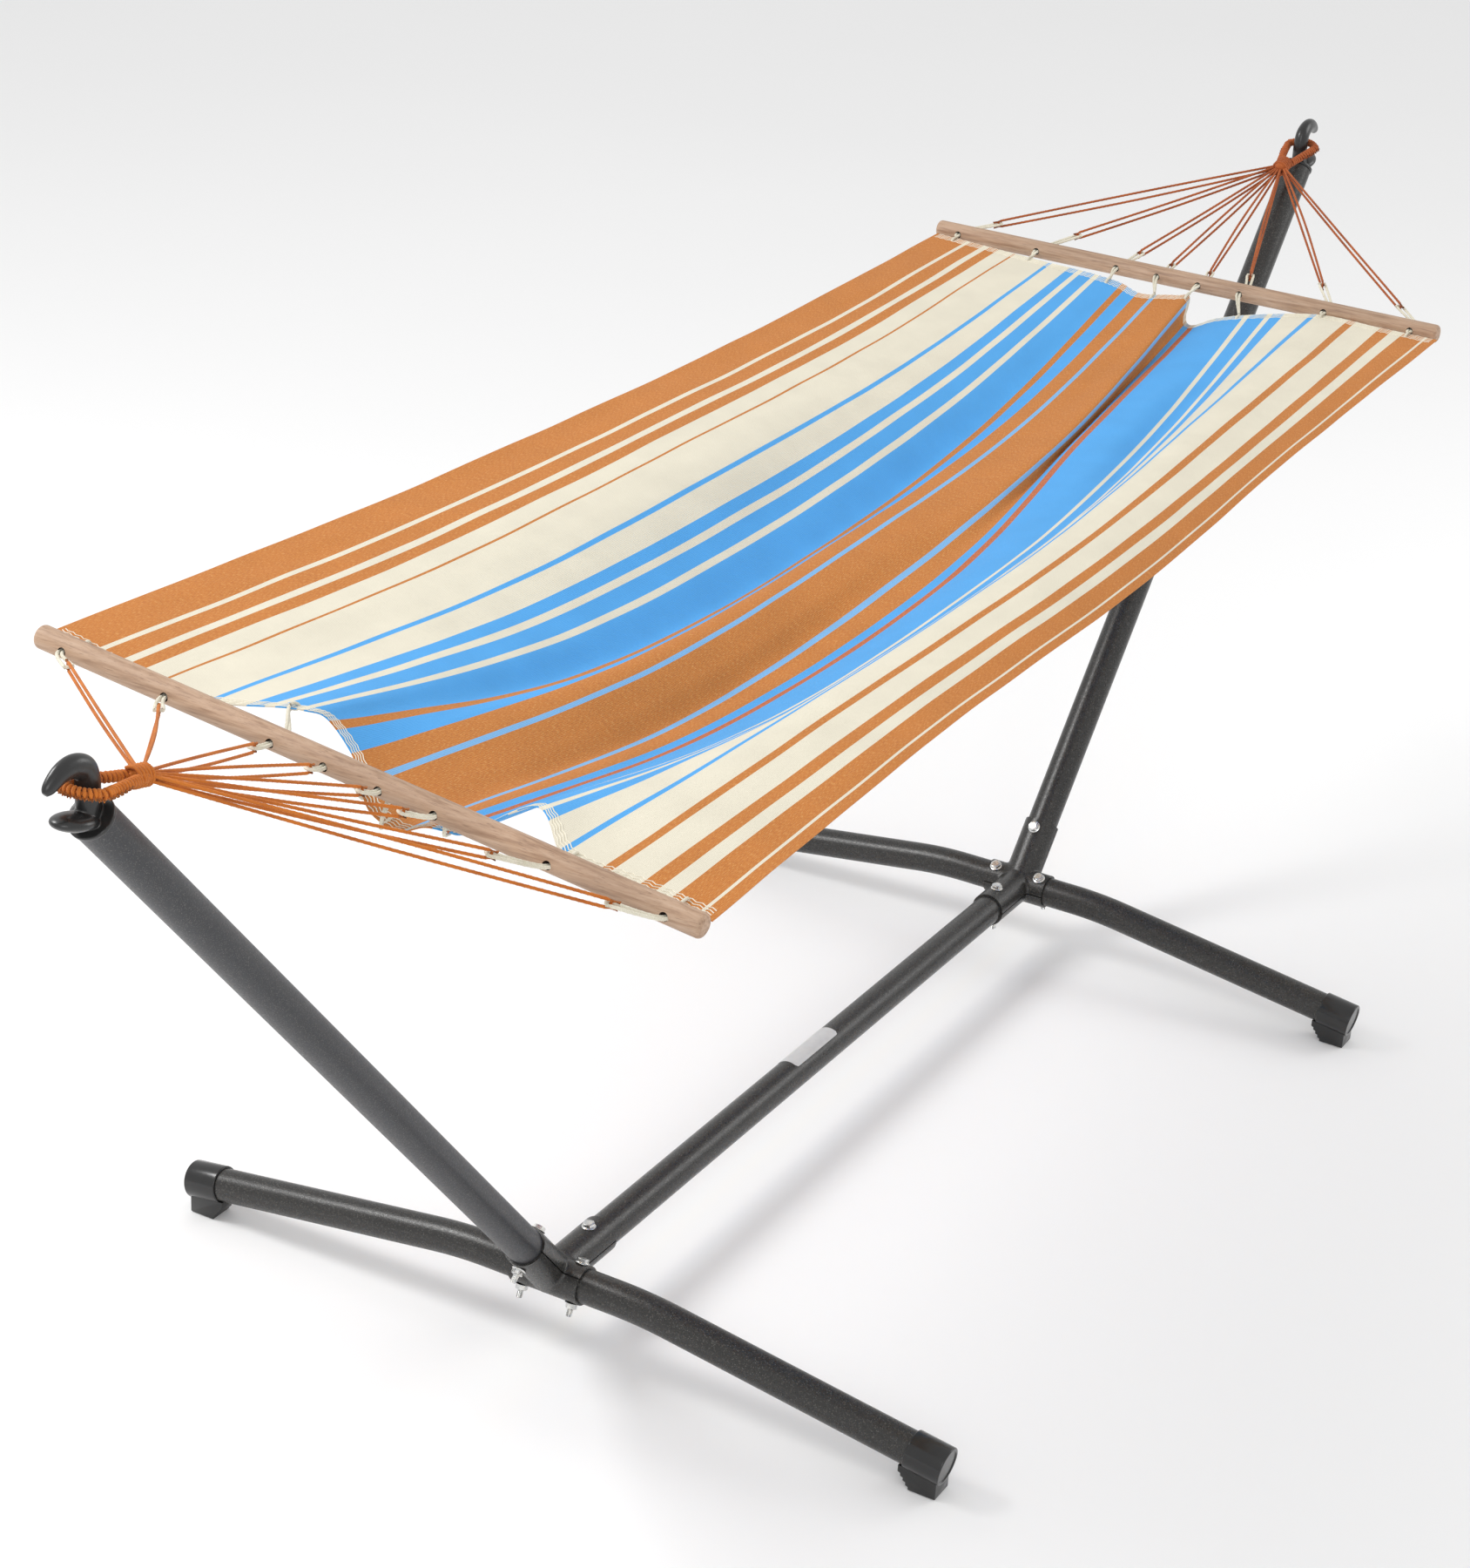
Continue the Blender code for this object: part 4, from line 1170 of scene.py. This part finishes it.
# %% Cloth surface
COLUMNS = 222
ROWS = 250
EDGE_X = 1.032
CURL_REACH = 0.07
CRINKLE = 0.0016
HEM_ROWS = 12            # rows near each hem where the wrinkles die away
STATIONS = (0.0, 0.25, 0.5, 0.75, 1.0)
flats = np.linspace(0, CLOTH_WIDTH, COLUMNS + 1)
lines = through(list(CHALK), [[s[-2:] for s in row] for row in CHALK.values()], flats) / 1000
hem_x = through(list(CHALK), [(row[0][0], row[-1][0]) for row in CHALK.values()], flats) / 1000


def cloth_points():
    """Cloth points as an array (rows, columns, 3), with hem curls fading inward."""
    down = np.linspace(0, 1, ROWS + 1)
    section = through(STATIONS, lines.transpose(1, 0, 2), down)
    grid = np.zeros((ROWS + 1, COLUMNS + 1, 3))
    grid[:, :, 1:] = section
    along = down[:, None]
    plain = -EDGE_X + 2 * EDGE_X * along
    near_curl = (hem_x[:, 0] + EDGE_X)[None, :] * np.exp(-along / CURL_REACH)
    far_curl = (hem_x[:, 1] - EDGE_X)[None, :] * np.exp(-(1 - along) / CURL_REACH)
    grid[:, :, 0] = plain + near_curl + far_curl
    return grid


cloth = cloth_points()
for row in range(ROWS + 1):
    for column in range(COLUMNS + 1):
        x, y, z = cloth[row, column]
        fade = min(1.0, row / HEM_ROWS, (ROWS - row) / HEM_ROWS)
        broad_folds = fractal.noise(Vector((x * 4.0, y * 22.0, 3.0)))
        fine_folds = fractal.noise(Vector((x * 9.0, y * 45.0, 8.0)))
        cloth[row, column, 2] += CRINKLE * (broad_folds + 0.5 * fine_folds) * fade
print("cloth rises", round(float(np.ptp(cloth[:, :, 2])), 3), "m from lowest to highest point")


def cloth_at(flat, down):
    """Point on the cloth at a flat distance in mm and a share of its length."""
    column = min(max(flat / CLOTH_WIDTH * COLUMNS, 0.0), COLUMNS - 0.001)
    row = min(max(down * ROWS, 0.0), ROWS - 0.001)
    i, j = int(row), int(column)
    a, b = row - i, column - j
    near = cloth[i, j] * (1 - b) + cloth[i, j + 1] * b
    far = cloth[i + 1, j] * (1 - b) + cloth[i + 1, j + 1] * b
    return Vector(near * (1 - a) + far * a)


def cloth_normal(flat, down):
    """Upward direction of the cloth at a point."""
    step = 1.5 / ROWS
    across = cloth_at(flat + 6, down) - cloth_at(flat - 6, down)
    along = cloth_at(flat, min(down + step, 1.0)) - cloth_at(flat, max(down - step, 0.0))
    return along.cross(-across).normalized()


# %% Cloth mesh
CLOTH_T = 0.0012
mesh = bpy.data.meshes.new("cloth")
wide = COLUMNS + 1
quads = [(r * wide + c, r * wide + c + 1, (r + 1) * wide + c + 1, (r + 1) * wide + c)
         for r in range(ROWS) for c in range(COLUMNS)]
mesh.from_pydata([tuple(p) for p in cloth.reshape(-1, 3)], [], quads)
layout = mesh.uv_layers.new(name="loom")
for loop in mesh.loops:
    row, column = divmod(loop.vertex_index, wide)
    layout.data[loop.index].uv = (column / COLUMNS, row / ROWS)
work = bmesh.new()
work.from_mesh(mesh)
bmesh.ops.recalc_face_normals(work, faces=work.faces)
if work.faces[0].normal.z < 0:
    bmesh.ops.reverse_faces(work, faces=work.faces)
work.to_mesh(mesh)
work.free()
draped = bpy.data.objects.new("draped", mesh)
scene.collection.objects.link(draped)
thick = draped.modifiers.new("thick", "SOLIDIFY")
thick.thickness = CLOTH_T
thick.offset = 0.0
bake(draped)
cloth_piece = piece("hammock_cloth" + FINE, take_mesh(draped), [CLOTH_WEAVE], "hammock", ["hammock_cloth"],
                    80.0)

# %% [markdown]
# ## Stitching at the hems
# Four rows of zigzag stitches in cream thread hold each hem. They are real little cords, laid just
# proud of the cloth, so they catch the light as thread does.

# %% Hem stitches
STITCH_ROWS = 4
STITCH_GAP = 0.0048
STITCH_PITCH = 5.5
STITCH_SWING = 0.0012
THREAD_R = 0.0006
stitch_skins = []
for first, sign in ((0.0, 1), (1.0, -1)):
    for row in range(STITCH_ROWS):
        count = int(CLOTH_WIDTH / STITCH_PITCH)
        path = []
        for k in range(1, count):
            offset = 0.003 + row * STITCH_GAP + (STITCH_SWING if k % 2 else -STITCH_SWING)
            down = first + sign * offset / (CLOTH_LENGTH / 1000)
            flat = k * CLOTH_WIDTH / count
            path.append(cloth_at(flat, down) + cloth_normal(flat, down) * (CLOTH_T / 2 + THREAD_R * 0.4))
        stitch_skins.append(sweep(path, lambda index: circle(THREAD_R, 5)))
stitches = piece("hem_stitches", mesh_of("stitches", *stitch_skins), [THREAD], "hammock")

# %% [markdown]
# ## Twisted cords
# A laid cord has three plies, so its cross-section has three lobes that turn as it goes. Turning a
# lobed ring along the path makes the plies in one sweep.

# %% Laid cord
CORD_R = 0.0019
LOOP_R = 0.0021
LINK_HALF = 0.0044
LOOP_HALF = 0.0030
APEX_X = 1.352
SEAT_Z = 1.042
RING_BEND_X = 1.423
RING_BEND_R = 0.021
RING_R = 0.006
RING_TILT = math.radians(12.0)
PLIES = 3
LAY = 5.2


def laid_cord(path, radius, cyclic=False, sides=9, phase=0.0):
    """Skin of a three-ply cord: one full turn of the plies every LAY diameters."""
    travelled = [0.0]
    for a, b in zip(path, path[1:]):
        travelled.append(travelled[-1] + (b - a).length)
    whole_turns = max(1, round(travelled[-1] / (LAY * 2 * radius)))
    rate = 2 * math.pi * whole_turns / travelled[-1]

    def section(index):
        ring = []
        for k in range(sides):
            around = 2 * math.pi * k / sides
            lobe = abs(math.cos(PLIES / 2 * around))
            reach = radius * (0.80 + 0.20 * lobe)
            angle = around + phase + travelled[index] * rate
            ring.append((reach * math.cos(angle), reach * math.sin(angle)))
        return ring

    return sweep(path, section, cyclic)


def gather_point(end):
    drop = (RING_BEND_X + RING_BEND_R - APEX_X) * math.tan(RING_TILT)
    return Vector((end.side * APEX_X, 0.0, SEAT_Z - drop))


def half_ring(count, radius, forward, sideways):
    """Offsets of a half circle from +sideways round the forward side to -sideways."""
    angles = [math.pi * k / count for k in range(count + 1)]
    return [forward * radius * math.sin(a) + sideways * radius * math.cos(a) for a in angles]


LOOP_OUT = {5.5: 0.055, 3.5: 0.060, 1.5: 0.038, 0.5: 0.024}
LOOP_CORE_R = 0.0018
LINK_PRESS = 0.0009
LINK_OVERLAP = CORD_R + LOOP_CORE_R + LINK_PRESS


def link_at(end, step):
    """Outer mouth of the bar hole, direction to the gather point, and the link's place."""
    mouth = end.hole(step) + Vector((end.side * (BAR_R + 0.0025), 0, 0))
    direction = (gather_point(end) - mouth).normalized()
    return mouth, direction, mouth + direction * LOOP_OUT[abs(step)]


# %% [markdown]
# ## Cream loops
# Each loop is a closed cord. It starts at an eyelet in the hem, runs as two strands through the bar, and
# catches the orange cord outside it.

# %% Loops
EYELET_IN = 0.012


def nearest_flat(end, step):
    """Flat distance of the hem point closest to a bar hole."""
    down = 0.0 if end.side < 0 else 1.0
    hole = end.hole(step)
    choices = [k * 6 for k in range(2, int(CLOTH_WIDTH / 6) - 1)]
    return min(choices, key=lambda flat: (cloth_at(flat, down) - hole).length)


def loop_path(end, step):
    mouth, direction, tip = link_at(end, step)
    inner = end.hole(step) - Vector((end.side * (BAR_R + 0.002), 0, 0))
    flat = nearest_flat(end, step)
    eyelet_down = EYELET_IN / (CLOTH_LENGTH / 1000)
    down = eyelet_down if end.side < 0 else 1 - eyelet_down
    eyelet = cloth_at(flat, down)
    lift = cloth_normal(flat, down) * (CLOTH_T / 2 + LOOP_R)
    hem = cloth_at(flat, 0.0 if end.side < 0 else 1.0)
    out = (hem - eyelet).normalized()
    over = hem + out * LOOP_R + lift * 0.9
    under = hem + out * LOOP_R - lift * 0.9
    across = Vector((0, -end.side, 0))
    aside = direction.cross(UP).normalized()
    bend = (aside + across).normalized()
    tip_centre = tip - direction * LINK_HALF
    knots = [over, inner + across * LOOP_HALF * 0.8, mouth + bend * LOOP_HALF * 0.8]
    knots += [tip_centre + o for o in half_ring(4, LINK_HALF, direction, aside)]
    knots += [mouth - bend * LOOP_HALF * 0.8, inner - across * LOOP_HALF * 0.8, under]
    knots += [eyelet - lift * 0.9 - out * LOOP_R, eyelet + lift * 0.9 - out * LOOP_R]
    return smooth_path(knots, 0.0022, True)


longest = 0.0
for end in (NEAR, FAR):
    for index, step in enumerate(HOLE_STEPS):
        path = loop_path(end, step)
        longest = max(longest, sum((b - a).length for a, b in zip(path, path[1:])))
        name = f"{end.name}_loop_{index + 1}"
        piece(name + FINE, mesh_of(name, laid_cord(path, LOOP_R, True)), [CREAM_CORD], "hammock", [name],
              75.0)
print("longest loop of cord", round(longest, 3), "m round")

# %% [markdown]
# ## The clews
# All the orange cords of one end start in a ring that is wrapped round and round with cord, and they
# leave it through a tight knot. Each of the eight doubled cords fans out to one cream loop.

# %% Wrapped ring, knot and fan
RING_WRAPS = 46
WRAP_R = 0.0021
HITCH_COUNT = 30
KNOT_TURNS = 5
STRAND_BOW = 0.004


def helix_about(path, turns, radius, phase=0.0, per_turn=14):
    """A coil of given radius round a path."""
    frames = path_frames(path)
    total = turns * per_turn
    result = []
    for k in range(total + 1):
        place = k / total * (len(path) - 1)
        i = min(int(place), len(path) - 2)
        t = place - i
        centre = path[i].lerp(path[i + 1], t)
        side = frames[i][0].lerp(frames[i + 1][0], t)
        up = frames[i][1].lerp(frames[i + 1][1], t)
        angle = phase + 2 * math.pi * k / per_turn
        result.append(centre + side * radius * math.cos(angle) + up * radius * math.sin(angle))
    return result


def ring_path(end):
    apex = gather_point(end)
    inward = Vector((-end.side * math.cos(RING_TILT), 0, -math.sin(RING_TILT)))
    left = Vector((0, 1, 0))
    bend = Vector((end.side * RING_BEND_X, 0, SEAT_Z - RING_BEND_R * math.tan(RING_TILT)))
    root = 0.0075
    path = [apex + left * root * 0.8, apex - inward * 0.016 + left * root * 1.2]
    path += [bend + offset for offset in half_ring(6, RING_BEND_R, -inward, left)]
    path += [apex - inward * 0.016 - left * root * 1.2, apex - left * root * 0.8]
    return smooth_path(path, 0.003), inward


def strand_path(end, step):
    """One doubled cord: out from the knot, round the loop's tip and back."""
    mouth, direction, tip = link_at(end, step)
    apex = gather_point(end)
    aside = direction.cross(UP).normalized()
    above = aside.cross(direction).normalized()
    centre = tip - direction * (LINK_OVERLAP - LINK_HALF)
    spread = LINK_HALF * 0.55
    knots = [apex + above * spread]
    for t in (0.3, 0.6):
        bow = aside * (STRAND_BOW * math.sin(math.pi * t) * math.sin(step * 5.3 + end.side))
        knots.append((apex + above * spread).lerp(centre + above * LINK_HALF, t) + bow)
    knots += [centre + offset for offset in half_ring(4, LINK_HALF, -direction, above)]
    for t in (0.6, 0.3):
        bow = aside * (-STRAND_BOW * math.sin(math.pi * t) * math.cos(step * 3.1))
        sag = UP * (-STRAND_BOW * 0.6 * math.sin(math.pi * t))
        knots.append((apex - above * spread).lerp(centre - above * LINK_HALF, t) + bow + sag)
    knots.append(apex - above * spread)
    return smooth_path(knots, 0.0024)


def hitch_skins(path, end):
    """A chain of small knots along the outer lower edge of the ring."""
    frames = path_frames(path)
    skins = []
    for k in range(HITCH_COUNT):
        index = int((0.12 + 0.76 * k / (HITCH_COUNT - 1)) * (len(path) - 1))
        centre = path[index]
        tangent = (path[index + 1] - path[index - 1]).normalized()
        away = (centre - Vector((end.side * (RING_BEND_X - 0.01), 0, centre.z))).normalized()
        spot = centre + away * (RING_R - 0.0006) - UP * 0.0022
        left_end = spot - tangent * 0.0028 + UP * 0.0012
        right_end = spot + tangent * 0.0028 - UP * 0.0012
        skins.append(laid_cord([left_end, spot + away * 0.0007, right_end], WRAP_R * 0.9, sides=12))
    return skins


for end in (NEAR, FAR):
    path, inward = ring_path(end)
    apex = gather_point(end)
    skins = [sweep(path, lambda index: circle(RING_R - 2 * WRAP_R + 0.0004, 14))]
    skins.append(laid_cord(helix_about(path, RING_WRAPS, RING_R - WRAP_R), WRAP_R, sides=9))
    skins += hitch_skins(path, end)
    knot_axis = straight(apex - inward * 0.013, apex + inward * 0.010, 12)
    skins.append(ball_skin(apex, (0.0145, 0.0105, 0.0090), RING_TILT * end.side, 24))
    skins.append(laid_cord(helix_about(knot_axis, KNOT_TURNS, 0.0098, per_turn=22), 0.0022, sides=9))
    length = 0.0
    for step in HOLE_STEPS:
        strand = strand_path(end, step)
        length += sum((b - a).length for a, b in zip(strand, strand[1:]))
        skins.append(laid_cord(strand, CORD_R, phase=step))
    name = end.name + "_clew"
    # painted shade: the far clew takes the darker copy of the orange cord finish
    cords = ORANGE_CORD if end is NEAR else SHADED_CORD
    piece(name + FINE, mesh_of(name, *skins), [cords], "hammock", [name], 75.0)
    print(end.name, "fan holds", round(length, 2), "m of cord")
